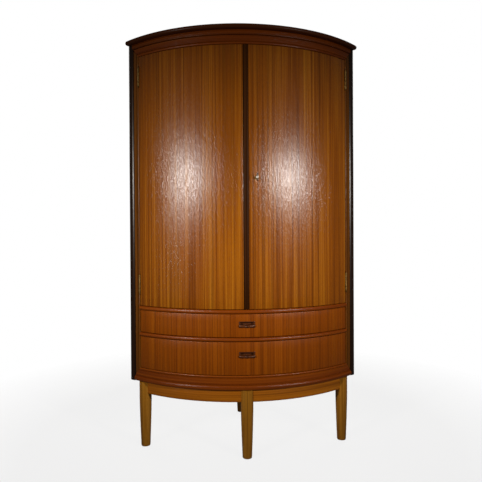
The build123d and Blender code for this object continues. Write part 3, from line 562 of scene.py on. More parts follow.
# %% A metal material
def metal(name, clean, dull, roughness, scratches=0.1):
    """A used metal whose colour and gloss wander between clean and dull."""
    material = bpy.data.materials.new(name)
    material.use_nodes = True
    nodes, links = material.node_tree.nodes, material.node_tree.links
    nodes.clear()
    coords = nodes.new("ShaderNodeTexCoord")
    cloud = noise(nodes, links, coords.outputs["Object"], (90, 90, 90), 4, 0.6)
    scratch = noise(nodes, links, coords.outputs["Object"], (2500, 400, 2500), 2, 0.5)
    shader = nodes.new("ShaderNodeBsdfPrincipled")
    shader.inputs["Metallic"].default_value = 1.0
    links.new(ramp(nodes, links, cloud, ((0.35, dull), (0.6, clean))), shader.inputs["Base Color"])
    gloss = spread(nodes, links, cloud, 0.35, 0.6, roughness + 0.18, roughness)
    gloss = link_math(nodes, links, "ADD", gloss, spread(nodes, links, scratch, 0.3, 0.7, 0, scratches))
    links.new(gloss, shader.inputs["Roughness"])
    output = nodes.new("ShaderNodeOutputMaterial")
    links.new(shader.outputs[0], output.inputs["Surface"])
    return material


BRASS = metal("Dulled brass", (0.42, 0.26, 0.08), (0.12, 0.06, 0.02), 0.3)
NICKEL = metal("Worn nickel", (0.72, 0.68, 0.62), (0.42, 0.38, 0.33), 0.2)
print("metals:", BRASS.name, "and", NICKEL.name)

# %% [markdown]
# ## Curved mouldings, by a rule
#
# The frieze, the bead rails, the base moulding and the aprons are all one thing: a planed section
# that follows the arc. They could be revolved one by one, but a rule is better, because it also
# says how they end. Geometry Nodes take a straight moulding and bend it: the length becomes an
# angle, the section's x becomes a radius. Against a wall each fibre of the moulding stops where its
# own radius meets the wall's plane, which cuts the end at 45 degrees as a mitre saw would.

# %% The node tree that bends a moulding
def moulding_tree():
    """Section in, bent moulding out: x of the section is a radius and y a height."""
    tree = bpy.data.node_groups.new("Curved moulding", "GeometryNodeTree")
    face = tree.interface
    face.new_socket("Section", in_out="INPUT", socket_type="NodeSocketGeometry")
    for name in ("Start Angle", "End Angle", "Wall Sum", "Axis Y"):
        face.new_socket(name, in_out="INPUT", socket_type="NodeSocketFloat")
    face.new_socket("Steps", in_out="INPUT", socket_type="NodeSocketInt")
    face.new_socket("Material", in_out="INPUT", socket_type="NodeSocketMaterial")
    face.new_socket("Moulding", in_out="OUTPUT", socket_type="NodeSocketGeometry")
    nodes, links = tree.nodes, tree.links
    start, end = nodes.new("NodeGroupInput"), nodes.new("NodeGroupOutput")
    given = start.outputs
    line = nodes.new("GeometryNodeCurvePrimitiveLine")
    line.inputs["Start"].default_value, line.inputs["End"].default_value = (-1, 0, 0), (1, 0, 0)
    count = nodes.new("GeometryNodeResampleCurve")
    links.new(line.outputs[0], count.inputs["Curve"])
    links.new(given["Steps"], count.inputs["Count"])
    section = nodes.new("GeometryNodeMeshToCurve")
    links.new(given["Section"], section.inputs[0])
    straight = nodes.new("GeometryNodeCurveToMesh")
    straight.inputs["Fill Caps"].default_value = True
    links.new(count.outputs[0], straight.inputs["Curve"])
    links.new(section.outputs[0], straight.inputs["Profile Curve"])

    def calc(operation, *values):
        return link_math(nodes, links, operation, *values)

    place = nodes.new("GeometryNodeInputPosition")
    split = nodes.new("ShaderNodeSeparateXYZ")
    links.new(place.outputs[0], split.inputs[0])
    along = calc("MULTIPLY", calc("ADD", split.outputs["X"], 1.0), 0.5)
    radius = calc("MULTIPLY", split.outputs["Y"], -1.0)
    height = calc("MULTIPLY", split.outputs["Z"], -1.0)
    reach = calc("SUBTRACT", given["Axis Y"], given["Wall Sum"])
    lean = calc("ARCSINE", calc("DIVIDE", reach, calc("MULTIPLY", radius, sqrt(2))))
    wall = calc("SUBTRACT", pi / 4, lean)
    last = calc("MINIMUM", given["End Angle"], wall)
    first = calc("MAXIMUM", given["Start Angle"], calc("MULTIPLY", wall, -1.0))
    angle = calc("ADD", first, calc("MULTIPLY", calc("SUBTRACT", last, first), along))
    join = nodes.new("ShaderNodeCombineXYZ")
    links.new(calc("MULTIPLY", radius, calc("SINE", angle)), join.inputs["X"])
    forward = calc("MULTIPLY", radius, calc("COSINE", angle))
    links.new(calc("SUBTRACT", given["Axis Y"], forward), join.inputs["Y"])
    links.new(height, join.inputs["Z"])
    bend = nodes.new("GeometryNodeSetPosition")
    links.new(straight.outputs[0], bend.inputs["Geometry"])
    links.new(join.outputs[0], bend.inputs["Position"])
    real = nodes.new("GeometryNodeRealizeInstances")
    links.new(bend.outputs[0], real.inputs[0])
    paint = nodes.new("GeometryNodeSetMaterial")
    links.new(real.outputs[0], paint.inputs["Geometry"])
    links.new(given["Material"], paint.inputs["Material"])
    links.new(paint.outputs[0], end.inputs[0])
    return tree


MOULDING_TREE = moulding_tree()


def run_tree(name, mesh, tree, **inputs):
    """Runs a tree on a mesh and gives its result as a plain object of that name."""
    seed = bpy.data.objects.new(name + "_seed", mesh)
    bpy.context.scene.collection.objects.link(seed)
    modifier = seed.modifiers.new("Rule", "NODES")
    modifier.node_group = tree
    sockets = {s.name: s.identifier for s in tree.interface.items_tree if s.in_out == "INPUT"}
    for key, value in inputs.items():
        modifier[sockets[key.replace("_", " ")]] = value
    bpy.context.view_layer.update()
    evaluated = seed.evaluated_get(bpy.context.evaluated_depsgraph_get())
    plain = bpy.data.meshes.new_from_object(evaluated)
    seed.modifiers.remove(modifier)
    bpy.data.objects.remove(seed)
    plain.name = name
    tidy_mesh(plain)
    obj = bpy.data.objects.new(name, plain)
    bpy.context.scene.collection.objects.link(obj)
    return obj


def moulding(name, section, material, start=-1.2, end=1.2, wall=WALL_SUM, steps=97):
    """One bent moulding from its section, a closed outline of (radius, height)."""
    mesh = bpy.data.meshes.new(name + "_section")
    count = len(section)
    mesh.from_pydata([(r, z, 0) for r, z in section], [(i, (i + 1) % count) for i in range(count)], [])
    obj = run_tree(name, mesh, MOULDING_TREE, Start_Angle=start, End_Angle=end, Wall_Sum=wall,
                   Axis_Y=AXIS_Y, Steps=steps, Material=material)
    print(name, "faces:", len(obj.data.polygons))
    return obj


# %% [markdown]
# A section is drawn from the back round the front. `nose` gives a rounded front edge, from a soft
# half-round on the bead rails to the full torus of the base.

# %% The frieze, the bead rails and the base moulding
def nose(back, front, z0, z1, depth, points=14):
    """A slab's section whose front edge is one curve, as deep as depth."""
    middle, half = (z0 + z1) / 2, (z1 - z0) / 2
    curve = []
    for i in range(points + 1):
        turn = pi * (i / points - 0.5)
        curve.append((front - depth + depth * cos(turn), middle + half * sin(turn)))
    return [(back, z0)] + curve + [(back, z1)]


def fillet_section(back, front, z0, z1, ease):
    """A slab's section with two rounded front edges."""
    section = [(back, z0)]
    for centre_z, first in ((z0 + ease, -pi / 2), (z1 - ease, 0.0)):
        for i in range(5):
            turn = first + pi / 2 * i / 4
            section.append((front - ease + ease * cos(turn), centre_z + ease * sin(turn)))
    return section + [(back, z1)]


FRIEZE_R = front_radius("frieze_rail")
z0, z1 = span("frieze_rail")
frieze = moulding("frieze_band", fillet_section(INNER_R, FRIEZE_R, z0 + 1.2 * MM, z1, 1.6 * MM), RAIL_TEAK,
                  wall=POST_SUM + 14 * MM)
stands_for(frieze, "frieze_rail")

for name in ("upper", "lower"):
    z0, z1 = span(f"{name}_bead_rail")
    section = nose(INNER_R, front_radius(f"{name}_bead_rail"), z0, z1, 5.2 * MM)
    bead = moulding(f"{name}_bead", section, RAIL_TEAK, -FACE_ANGLE, FACE_ANGLE)
    stands_for(bead, f"{name}_bead_rail")

z0, z1 = span("base_moulding")
BASE_BACK_R = min(hypot(v.x, AXIS_Y - v.y) for v in corners("base_moulding"))
section = nose(BASE_BACK_R, front_radius("base_moulding"), z0, z1 - 2.4 * MM, 9.5 * MM)
section = section[:-1] + [(FACE_R - 1 * MM, z1 - 2.4 * MM), (FACE_R - 1 * MM, z1), (BASE_BACK_R, z1)]
stands_for(moulding("base_torus", section, RAIL_TEAK, wall=POST_SUM), "base_moulding")

# %% [markdown]
# ## The frame round the opening
#
# Head rail, bottom rail and stiles are planed to one section, with a small bead and a quirk beside
# the opening, and meet in mitres. So the section is drawn once, as a distance from the opening's
# edge and a radius, and each member sweeps it along its own side of the opening. At the mitre each
# point of the section stops as far past the corner as it is away from the opening.

# %% Four mitred frame members
STILE_WIDTH = (wall_angle(FACE_R, POST_SUM) - FACE_ANGLE) * FACE_R
BEAD, QUIRK = 9.0 * MM, 1.8 * MM


def frame_section(width):
    """(distance from the opening, radius) round a frame member."""
    points = [(0.0, INNER_R)]
    for i in range(9):
        turn = pi * i / 8
        points.append((BEAD / 2 * (1 - cos(turn)), FACE_R - 3.0 * MM + 3.0 * MM * sin(turn)))
    points.append((BEAD + QUIRK / 2, FACE_R - 3.6 * MM))
    points.append((BEAD + QUIRK, FACE_R - 1.0 * MM))
    points.append((width - 1.5 * MM, FACE_R - 1.0 * MM))
    points.append((width, FACE_R - 2.6 * MM))
    points.append((width, INNER_R))
    return points


def rail_shell(edge, up, width, steps=96):
    """A rail along the arc, from mitre to mitre; up is 1 above the opening and -1 below it."""
    rings = []
    for i in range(steps + 1):
        share = 2 * i / steps - 1
        ring = []
        for away, radius in frame_section(width):
            angle = share * (FACE_ANGLE + min(away, STILE_WIDTH) / FACE_R)
            ring.append((*polar(radius, angle), edge + up * away))
        rings.append(ring)
    return loft(rings)


def stile_shell(bottom, top, notches, notch_depth):
    """The right stile, between the edges of the two rails, with a step at each hinge."""
    levels = [(0.0, False), (0.02, False)]
    for low, high in notches:
        a, b = ((z - bottom) / (top - bottom) for z in (low, high))
        hair = 0.0001
        levels += [(a - hair, False), (a, True), ((a + b) / 2, True), (b, True), (b + hair, False)]
    levels += [(0.98, False), (1.0, False)]
    rings = []
    for share, notched in levels:
        ring = []
        for away, radius in frame_section(STILE_WIDTH):
            low, high = bottom - away, top + away
            across = max(away, notch_depth) if notched else away
            ring.append((*polar(radius, FACE_ANGLE + across / FACE_R), low + (high - low) * share))
        rings.append(ring)
    return loft(rings)


OPENING_TOP = span("head_rail")[0]
OPENING_BOTTOM = span("bottom_rail")[1]
HEAD_WIDTH = span("head_rail")[1] - OPENING_TOP
SILL_WIDTH = OPENING_BOTTOM - span("bottom_rail")[0]
HINGES = heights("right_door_hinge_leaves")
KNUCKLE_ROOM, FINIAL_ROOM = 3.1 * MM, 4.5 * MM
NOTCHES = [(low - FINIAL_ROOM, high + FINIAL_ROOM) for low, high in HINGES]
stands_for(piece("head_frame", [rail_shell(OPENING_TOP, 1, HEAD_WIDTH)], RAIL_TEAK), "head_rail")
stands_for(piece("sill_frame", [rail_shell(OPENING_BOTTOM, -1, SILL_WIDTH)], RAIL_TEAK), "bottom_rail")
stile = stile_shell(OPENING_BOTTOM, OPENING_TOP, NOTCHES, KNUCKLE_ROOM)
stands_for(piece("right_stile_frame", [stile], STILE_TEAK), "right_stile")
stands_for(piece("left_stile_frame", [mirrored(stile)], STILE_TEAK), "left_stile")
print("stile width:", round(STILE_WIDTH / MM, 1), "mm; hinges at", HINGES)

# %% [markdown]
# ## Corner posts
#
# The corner posts are nearly black, with a bulging nose that catches one upright line of light. A
# bevelled box would do for a square post, but these are cut off at 45 degrees to meet the walls. So
# the plan is drawn once, nose and all, and lofted straight up.

# %% The two corner posts
def post_shell():
    """The right post, with a bulging nose."""
    outer = Vector(polar(FACE_R, wall_angle(FACE_R, WALL_SUM)))
    inner = Vector(polar(FACE_R, wall_angle(FACE_R, POST_SUM)))
    low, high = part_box("right_post")
    across = (WALL_SUM - POST_SUM) / 2
    run = high.y - inner.y - across
    crown = 5.0 * MM
    front = []
    for i in range(17):
        t = i / 16
        bulge = crown * (1 - abs(2 * t - 1)**2.6)
        middle = inner.lerp(outer, t)
        front.append((middle.x + bulge / sqrt(2), middle.y - bulge / sqrt(2)))
    inner_back = (inner.x - run, inner.y + run)
    outer_back = (inner_back[0] + across, inner_back[1] + across)
    outline = front + [outer_back, inner_back]
    levels = [low.z + (high.z - low.z) * i / 12 for i in range(13)]
    return loft([[(x, y, z) for x, y in outline] for z in levels])


stands_for(piece("right_corner_post", [post_shell()], DARK_UPRIGHT), "right_post")
stands_for(piece("left_corner_post", [mirrored(post_shell())], DARK_UPRIGHT), "left_post")


# %% [markdown]
# ## Cornice
#
# The cornice is a board whose front edge is a full half-round. A moulding could be laid round a flat
# board, but that leaves a seam on top, so the whole board is lofted: every ring is the board's own
# outline, drawn in by what a half-round has lost at that height. Along the walls the board stays
# square, so the amount fades away there.

# %% The cornice
def bowed_outline(radius, total, back, tip=0.0, steps=96):
    """A plan with a bowed front, two sides at 45 degrees and a straight back, anticlockwise."""
    end = wall_angle(radius, total)
    if not tip:
        front = [polar(radius, -end + 2 * end * i / steps) for i in range(steps + 1)]
        return front + [(total - back, back), (back - total, back)]
    # The tip's centre is a tip radius inside both the arc and the wall's plane.
    centre_angle = wall_angle(radius - tip, total - tip * sqrt(2))
    cx, cy = polar(radius - tip, centre_angle)
    right = [polar(radius, centre_angle * i / (steps // 2)) for i in range(1, steps // 2)]
    first, last = centre_angle - pi / 2, pi / 4
    turns = [first + (last - first) * i / 8 for i in range(9)]
    corner = [(cx + tip * cos(turn), cy + tip * sin(turn)) for turn in turns]
    half = right + corner
    left = [(-x, y) for x, y in reversed(half)]
    return left + [polar(radius, 0)] + half + [(total - back, back), (back - total, back)]


def cornice_shell():
    """The top board, with a half-round front edge that fades out along the walls."""
    low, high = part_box("cornice")
    inside, tip, tip_angle = 0.3 * MM, 9.7 * MM, 0.72
    outline = bowed_outline(front_radius("cornice"), WALL_SUM - inside, high.y, tip)
    half = (high.z - low.z) / 2
    front_y = polar(front_radius("cornice"), tip_angle)[1]
    rings = []
    for i in range(13):
        turn = pi * (i / 12 - 0.5)
        z = (low.z + high.z) / 2 + half * sin(turn)
        lost = half * (1 - cos(turn)) * 0.92
        drawn = inset_outline(outline, lost)
        ring = []
        for (x, y), soft in zip(outline, drawn):
            share = min(max((front_y + 0.05 - y) / 0.02, 0.12), 1.0)
            ring.append((x + (soft.x - x) * share, y + (soft.y - y) * share, z))
        rings.append(ring)
    return loft(rings)


stands_for(piece("cornice_board", [cornice_shell()], DARK_ROUND), "cornice")

# %% [markdown]
# ## Doors and drawer fronts
#
# They are boards bent round the arc, built as a grid of columns and rows so that the pattern and the
# shading run evenly. The first and last few columns and rows ease the edges. A drawer front leaves
# out the faces inside its window and gets a pocket there, where the grip is let in. A door's outer
# edge steps in at each hinge, to leave room for the knuckles.

# %% A bent board
def even_steps(first, last, pitch):
    """Evenly spaced values from first to last, about a pitch apart."""
    count = max(1, round((last - first) / pitch))
    return [first + (last - first) * i / count for i in range(count + 1)]


def bent_board(a0, a1, z0, z1, ease=1.2 * MM, window=None, notches=(), notch_side=0):
    """A board between INNER_R and LEAF_R; window is (half angle, low, high, depth)."""
    lean = ease / LEAF_R
    marks = [a0 + lean] + ([-window[0], window[0]] if window else []) + [a1 - lean]
    columns = [(a0 + lean * s, drop(ease * s, ease)) for s in EASE_STEPS[:-1]]
    for first, last in zip(marks, marks[1:]):
        columns += [(a, 0.0) for a in even_steps(first, last, 0.012 / LEAF_R)[:-1]]
    columns += [(a1 - lean * s, drop(ease * s, ease)) for s in reversed(EASE_STEPS)]
    levels = [z for low, high in notches for z in (low - 0.1 * MM, low, high, high + 0.1 * MM)]
    if window:
        levels += [window[1], window[2]]
    steady = [z for z in even_steps(z0, z1, 0.1)[1:-1] if all(abs(z - other) > 4 * MM for other in levels)]
    rows = eased_heights(z0, z1, ease, sorted(levels + steady))
    points, across, up = [], len(columns), len(rows)
    for back in (False, True):
        for z, row_drop in rows:
            notched = any(low <= z <= high for low, high in notches)
            for angle, column_drop in columns:
                fall = min(hypot(row_drop, column_drop), ease)
                radius = INNER_R + fall if back else LEAF_R - fall
                if notched and notch_side > 0:
                    angle = min(angle, a1 - KNUCKLE_ROOM / LEAF_R)
                elif notched:
                    angle = max(angle, a0 + KNUCKLE_ROOM / LEAF_R)
                points.append((*polar(radius, angle), z))
    faces = []

    def index(back, j, i):
        return (back * up + j) * across + i

    in_window = set()
    for j in range(up - 1):
        for i in range(across - 1):
            middle = ((columns[i][0] + columns[i + 1][0]) / 2, (rows[j][0] + rows[j + 1][0]) / 2)
            if window and abs(middle[0]) < window[0] and window[1] < middle[1] < window[2]:
                in_window.add((j, i))
                continue
            faces.append([index(0, j, i), index(0, j, i + 1), index(0, j + 1, i + 1), index(0, j + 1, i)])
    for j in range(up - 1):
        for i in range(across - 1):
            faces.append([index(1, j, i), index(1, j + 1, i), index(1, j + 1, i + 1), index(1, j, i + 1)])
        for i in (0, across - 1):
            faces.append([index(0, j, i), index(0, j + 1, i), index(1, j + 1, i), index(1, j, i)])
    for i in range(across - 1):
        for j in (0, up - 1):
            faces.append([index(0, j, i), index(0, j, i + 1), index(1, j, i + 1), index(1, j, i)])
    pocket = {}

    def sunk(j, i):
        if (j, i) not in pocket:
            pocket[(j, i)] = len(points)
            points.append((*polar(LEAF_R - window[3], columns[i][0]), rows[j][0]))
        return pocket[(j, i)]

    for j, i in sorted(in_window):
        faces.append([sunk(j, i), sunk(j, i + 1), sunk(j + 1, i + 1), sunk(j + 1, i)])
        sides = (((j, i), (j, i + 1), (j - 1, i)), ((j + 1, i), (j + 1, i + 1), (j + 1, i)),
                 ((j, i), (j + 1, i), (j, i - 1)), ((j, i + 1), (j + 1, i + 1), (j, i + 1)))
        for first, second, beyond in sides:
            if beyond not in in_window:
                faces.append([index(0, *first), index(0, *second), sunk(*second), sunk(*first)])
    return points, faces


# %% [markdown]
# Each door is one such board, from its hinges to the middle. The gap between them is hidden by a dark
# strip on the right door's edge, half-round in front, that the left door closes behind. The strip is
# lofted from its plan, like the posts, with its two ends eased.

# %% The two doors and the dark strip between them
DOOR_LOW, DOOR_HIGH = span("right_door_panel")
right_leaf = bent_board(STRIP_ANGLE, LEAF_ANGLE, DOOR_LOW, DOOR_HIGH, notches=NOTCHES, notch_side=1)
left_leaf = bent_board(-LEAF_ANGLE, -DOOR_GAP_ANGLE, DOOR_LOW, DOOR_HIGH, notches=NOTCHES, notch_side=-1)
stands_for(piece("right_door_leaf", [right_leaf], DOOR_TEAK), "right_door_panel")
stands_for(piece("left_door_leaf", [left_leaf], DOOR_TEAK), "left_door_panel")
STRIP_R = front_radius("meeting_strip")


def strip_shell():
    """The strip on the right door's edge: as thick as the door, and half-round in front of it."""
    rings = []
    between = even_steps(DOOR_LOW, DOOR_HIGH, 0.1)[1:-1]
    for z, inset in eased_heights(DOOR_LOW, DOOR_HIGH, 1.0 * MM, between):
        ring = []
        for i in range(17):
            turn = pi * (i / 16 - 0.5)
            angle = (STRIP_ANGLE - inset / LEAF_R) * sin(turn)
            ring.append((*polar(LEAF_R + (STRIP_R - LEAF_R - inset) * cos(turn), angle), z))
        ring += [(*polar(INNER_R, STRIP_ANGLE), z), (*polar(INNER_R, -STRIP_ANGLE), z)]
        rings.append(ring)
    return loft(rings)


stands_for(piece("dark_meeting_strip", [strip_shell()], STRIP_WOOD), "meeting_strip")
print("door leaf:", len(left_leaf[1]), "faces")

# %% [markdown]
# ## Drawers
#
# Grips are carved out of dark hardwood and let into the front: fingers go into the slot over a lip
# whose upper edge dips in the middle, and whose lower edge hangs in two soft lobes. They could be
# sculpted by hand, but that shape has no overhang towards the front, so it is simply a field of
# heights over a small grid, and a short formula gives the height.

# %% The drawer fronts and grips
GRIP_X, GRIP_Z, GRIP_DEEP = 31.0, 12.5, 14.0      # half length, half height and depth, in mm
SLOT_X, SLOT_TOP, SLOT_DEEP = 26.0, 9.2, 12.0     # the finger slot: half length, top and depth, in mm


def grip_relief(x, z):
    """How far the grip stands out of the drawer front, for x and z from its middle, in mm."""
    side = abs(x) / GRIP_X
    top = -0.8 - 3.6 * max(0.0, 1 - abs(x) / 9.0)
    bottom = -11.6 + 3.6 * side**2.5 + 3.2 * max(0.0, 1 - abs(x) / 8.0)
    reach = 9.6 * (1 - 0.5 * side**3) - 1.6 * max(0.0, 1 - abs(x) / 10.0)
    if z < bottom:
        return 1.0 - 0.6 * min((bottom - z) / 2, 1.0)
    if z < top:
        share = (z - bottom) / (top - bottom)
        swell = 1 - abs(2 * share / 0.72 - 1)**2.2 if share < 0.36 else 1.0
        return 1.0 + reach * swell * (1 - 0.25 * max(0.0, (share - 0.5) * 2)**3)
    edge = min(SLOT_X - abs(x), SLOT_TOP - z)
    if edge <= 0:
        return 1.0 + 0.6 * min(-edge / 4, 1.0)
    return 1.0 - SLOT_DEEP * min(1.0, edge / 1.6)


def grip_shell(middle, steps_x=104, steps_z=64):
    """A grip's front surface on a grid, closed by a flat back in the drawer front."""
    points, faces = [], []
    for j in range(steps_z + 1):
        z = GRIP_Z * (2 * j / steps_z - 1)
        for i in range(steps_x + 1):
            x = GRIP_X * (2 * i / steps_x - 1)
            out = grip_relief(x, z)
            corner = max(0.0, abs(x) - 28.0)**2 + max(0.0, abs(z) - 9.5)**2
            out -= 0.105 * max(0.0, corner - 6.0)
            points.append((*polar(LEAF_R + out * MM, x * MM / LEAF_R), middle + z * MM))
    across = steps_x + 1
    front = len(points)
    rim = [(0, i) for i in range(across)] + [(j, steps_x) for j in range(1, steps_z + 1)]
    rim += [(steps_z, i) for i in range(steps_x - 1, -1, -1)] + [(j, 0) for j in range(steps_z - 1, 0, -1)]
    for j in range(steps_z):
        for i in range(steps_x):
            a = j * across + i
            faces.append([a, a + 1, a + across + 1, a + across])
    for j, i in rim:
        x, z = GRIP_X * (2 * i / steps_x - 1), GRIP_Z * (2 * j / steps_z - 1)
        points.append((*polar(LEAF_R - GRIP_DEEP * MM, x * MM / LEAF_R), middle + z * MM))
    count = len(rim)
    for k in range(count):
        a, b = rim[k], rim[(k + 1) % count]
        faces.append([a[0] * across + a[1], b[0] * across + b[1], front + (k + 1) % count, front + k])
    faces.append([front + k for k in range(count)])
    return points, faces


for name in ("upper", "lower"):
    z0, z1 = span(f"{name}_drawer_front")
    grip_low, grip_high = span(f"{name}_drawer_grip")
    middle = (grip_low + grip_high) / 2
    window = (GRIP_X * MM / LEAF_R, grip_low, grip_high, (GRIP_DEEP - 0.1) * MM)
    front = bent_board(-LEAF_ANGLE, LEAF_ANGLE, z0, z1, window=window)
    stands_for(piece(f"{name}_drawer_board", [front], DRAWER_TEAK), f"{name}_drawer_front")
    stands_for(piece(f"{name}_grip", [grip_shell(middle)], GRIP_WOOD, radians(60)), f"{name}_drawer_grip")


# %% [markdown]
# Behind each bent front is a plain box of pale wood. Its sides slant, because the cabinet is a
# triangle inside, so no side can be a straight block: every board is a plan pulled up to its height.
# Two ribs under the bottom run along the wooden runners.

# %% The drawer boxes
RIB = 14.5 * MM


def wall_line(node):
    """x + y on the right-hand side face of a node."""
    return max(v.x + v.y for v in corners(node))


for name in ("upper", "lower"):
    side_node, bottom_node, back_node = (f"{name}_drawer_{part}" for part in ("sides", "bottom", "back"))
    outer, inner, back = wall_line(side_node), wall_line(bottom_node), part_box(side_node)[1].y
    ends = [polar(INNER_R, wall_angle(INNER_R, total)) for total in (inner, outer)]
    outline = ends + [(outer - back, back), (inner - back, back)]
    side = plan_board(outline, *span(side_node), 1.2 * MM)
    stands_for(piece(f"{name}_drawer_side_boards", [side, mirrored(side)], PALE_DEEP), side_node)
    low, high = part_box(back_node)
    board = [(low.y - inner, low.y), (inner - low.y, low.y),
             (inner - high.y, high.y), (high.y - inner, high.y)]
    stands_for(piece(f"{name}_drawer_back_board", [plan_board(board, low.z, high.z, 1.0 * MM)], PALE_WIDE),
               back_node)
    low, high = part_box(bottom_node)
    board = bowed_outline(INNER_R, inner, high.y)
    stands_for(piece(f"{name}_drawer_floor", [plan_board(board, low.z, high.z, 0.4 * MM)], PALE_WIDE),
               bottom_node)
    low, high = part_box(f"{name}_drawer_guides")
    ribs = [eased_block((x, low.y, low.z), (x + RIB, high.y, high.z), 0.8 * MM)
            for x in (low.x, high.x - RIB)]
    stands_for(piece(f"{name}_drawer_ribs", ribs, PALE_DEEP), f"{name}_drawer_guides")

low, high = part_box("drawer_runners")
runners = [eased_block((low.x, low.y, z0), (high.x, high.y, z1), 1.0 * MM)
           for z0, z1 in heights("drawer_runners")]
stands_for(piece("wooden_runners", runners, PALE_DEEP), "drawer_runners")

# %% [markdown]
# ## The box behind
#
# Boards inside a corner cabinet share one plan: bowed in front, square to the two walls, cut off
# flat at the back. Each node says how far it reaches, so one function makes them all. The wall
# panels are plain boards on edge, with their grain upright. The two slide bolts of the left door
# need a hole each, which a Boolean cuts into the finished board, because a hole drawn into the plan
# would go all the way through.

# %% Boards, wall panels and back
def bolt_axis(end):
    """The x and y of the slide bolt at one end of the left door."""
    node = f"{end}_slide_bolt"
    tip = [v for v in corners(node) if v.z > span(node)[1] - 1e-4]
    return [sum(v[i] for v in tip) / len(tip) for i in (0, 1)]


def bolt_socket(node, end):
    """The hole that a node has for a slide bolt, drawn a little past the faces it opens in."""
    cx, cy = bolt_axis(end)
    hole = [v for v in corners(node) if hypot(v.x - cx, v.y - cy) < 5 * MM]
    low, high = min(v.z for v in hole), max(v.z for v in hole)
    radius = max(hypot(v.x - cx, v.y - cy) for v in hole)
    low -= MM if low - span(node)[0] < 1e-4 else 0
    high += MM if span(node)[1] - high < 1e-4 else 0
    return turned([(0, low), (radius, low), (radius, high), (0, high)], 32, Matrix.Translation((cx, cy, 0)))


for node, name in (("floor_board", "cabinet_floor"), ("drawer_board", "board_between_drawers"),
                   ("door_board", "board_under_doors"), ("ceiling_board", "cabinet_ceiling"),
                   ("lower_shelf", "shelf_1"), ("middle_shelf", "shelf_2"), ("upper_shelf", "shelf_3")):
    outline = bowed_outline(front_radius(node), wall_line(node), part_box(node)[1].y)
    board = piece(name, [plan_board(outline, *span(node), 1.0 * MM)], BOARD_WIDE)
    if node == "door_board":
        cut_away(board, [bolt_socket(node, "bottom")])
    stands_for(board, node)

INNER_SUM = wall_line("floor_board")
BACK_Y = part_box("back_panel")[1].y
low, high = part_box("right_wall_panel")
across = (WALL_SUM - INNER_SUM) / 2
front_outer = (WALL_SUM - low.y - across, low.y + across)
outline = [(front_outer[0] - across, low.y), front_outer,
           (WALL_SUM - BACK_Y, BACK_Y), (INNER_SUM - BACK_Y, BACK_Y)]
wall = plan_board(outline, low.z, high.z, 0.6 * MM)
stands_for(piece("right_side_board", [wall], BOARD_UPRIGHT), "right_wall_panel")
stands_for(piece("left_side_board", [mirrored(wall)], BOARD_UPRIGHT), "left_wall_panel")
low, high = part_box("back_panel")
outline = [(low.y - INNER_SUM, low.y), (INNER_SUM - low.y, low.y), (INNER_SUM - high.y, high.y),
           (high.y - INNER_SUM, high.y)]
stands_for(piece("back_board", [plan_board(outline, low.z, high.z, 0.6 * MM)], BOARD_UPRIGHT), "back_panel")
low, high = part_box("door_stop")
STOP_R = min(hypot(v.x, v.y - AXIS_Y) for v in corners("door_stop"))
stop_angle = asin(high.x / (INNER_R - 0.5 * MM))
section = fillet_section(STOP_R, INNER_R - 0.5 * MM, low.z, high.z, 1.5 * MM)
strip = moulding("door_stop_strip", section, BOARD_WIDE, -stop_angle, stop_angle, steps=25)
stands_for(cut_away(strip, [bolt_socket("door_stop", "top")]), "door_stop")

# %% [markdown]
# ## Legs and the rails that join them
#
# Round legs come off a lathe: straight for the part that takes the rails, then a slow taper to a
# small rounded foot. Between the front legs the apron follows the arc, so it comes from the
# moulding tree; towards the rear leg the rails are straight.

# %% Legs, aprons and side rails
def leg_shell(node):
    """A turned leg with a taper that starts gently and a rounded foot."""
    low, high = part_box(node)
    cx, cy, top_r = (low.x + high.x) / 2, (low.y + high.y) / 2, (high.x - low.x) / 2
    foot_r = max(hypot(v.x - cx, v.y - cy) for v in corners(node) if v.z < 5 * MM)
    knee, ease = high.z * 0.74, 3.5 * MM
    outline = [(0, 0), (foot_r - ease, 0), (foot_r - ease * 0.3, ease * 0.3), (foot_r, ease)]
    for i in range(1, 17):
        share = i / 16
        outline.append((foot_r + (top_r - foot_r) * (1 - (1 - share)**1.35), ease + (knee - ease) * share))
    outline += [(top_r, high.z), (0, high.z)]
    return turned(outline, 56, Matrix.Translation((cx, cy, 0)))


for node in ("left_leg", "centre_leg", "right_leg", "rear_leg"):
    stands_for(piece(f"turned_{node}", [leg_shell(node)], LEG_WOOD), node)

low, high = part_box("right_leg")
LEG_CIRCLE = AXIS_Y - (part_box("centre_leg")[0].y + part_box("centre_leg")[1].y) / 2
leg_angle = asin((low.x + high.x) / 2 / LEG_CIRCLE)
leg_half = (high.x - low.x) / 2 / LEG_CIRCLE
low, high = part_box("aprons")
APRON_R = max(hypot(v.x, AXIS_Y - v.y) for v in corners("aprons"))
APRON_BACK = min(hypot(v.x, AXIS_Y - v.y) for v in corners("aprons"))
section = fillet_section(APRON_BACK, APRON_R, low.z, high.z, 2.5 * MM)
tuck = leg_half * 0.6
aprons = [moulding("right_apron", section, APRON_TEAK, tuck, leg_angle - tuck, steps=49),
          moulding("left_apron", section, APRON_TEAK, tuck - leg_angle, -tuck, steps=49)]
stands_for(aprons[0], "aprons")
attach(aprons[1], "carcase")

low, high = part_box("side_rails")
rear_low, rear_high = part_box("rear_leg")
rear = Vector((0, (rear_low.y + rear_high.y) / 2, 0))
front = Vector((*polar(LEG_CIRCLE, leg_angle), 0))
run = rear - front
half, from_front, from_rear = 11 * MM, 14 * MM, 12 * MM
lay = Matrix.Translation(front) @ Matrix.Rotation(atan2(run.y, run.x), 4, "Z")
rail = eased_block((from_front, -half, low.z), (run.length - from_rear, half, high.z), 1.5 * MM, lay)
stands_for(piece("straight_side_rails", [rail, mirrored(rail)], DARK_ROUND), "side_rails")

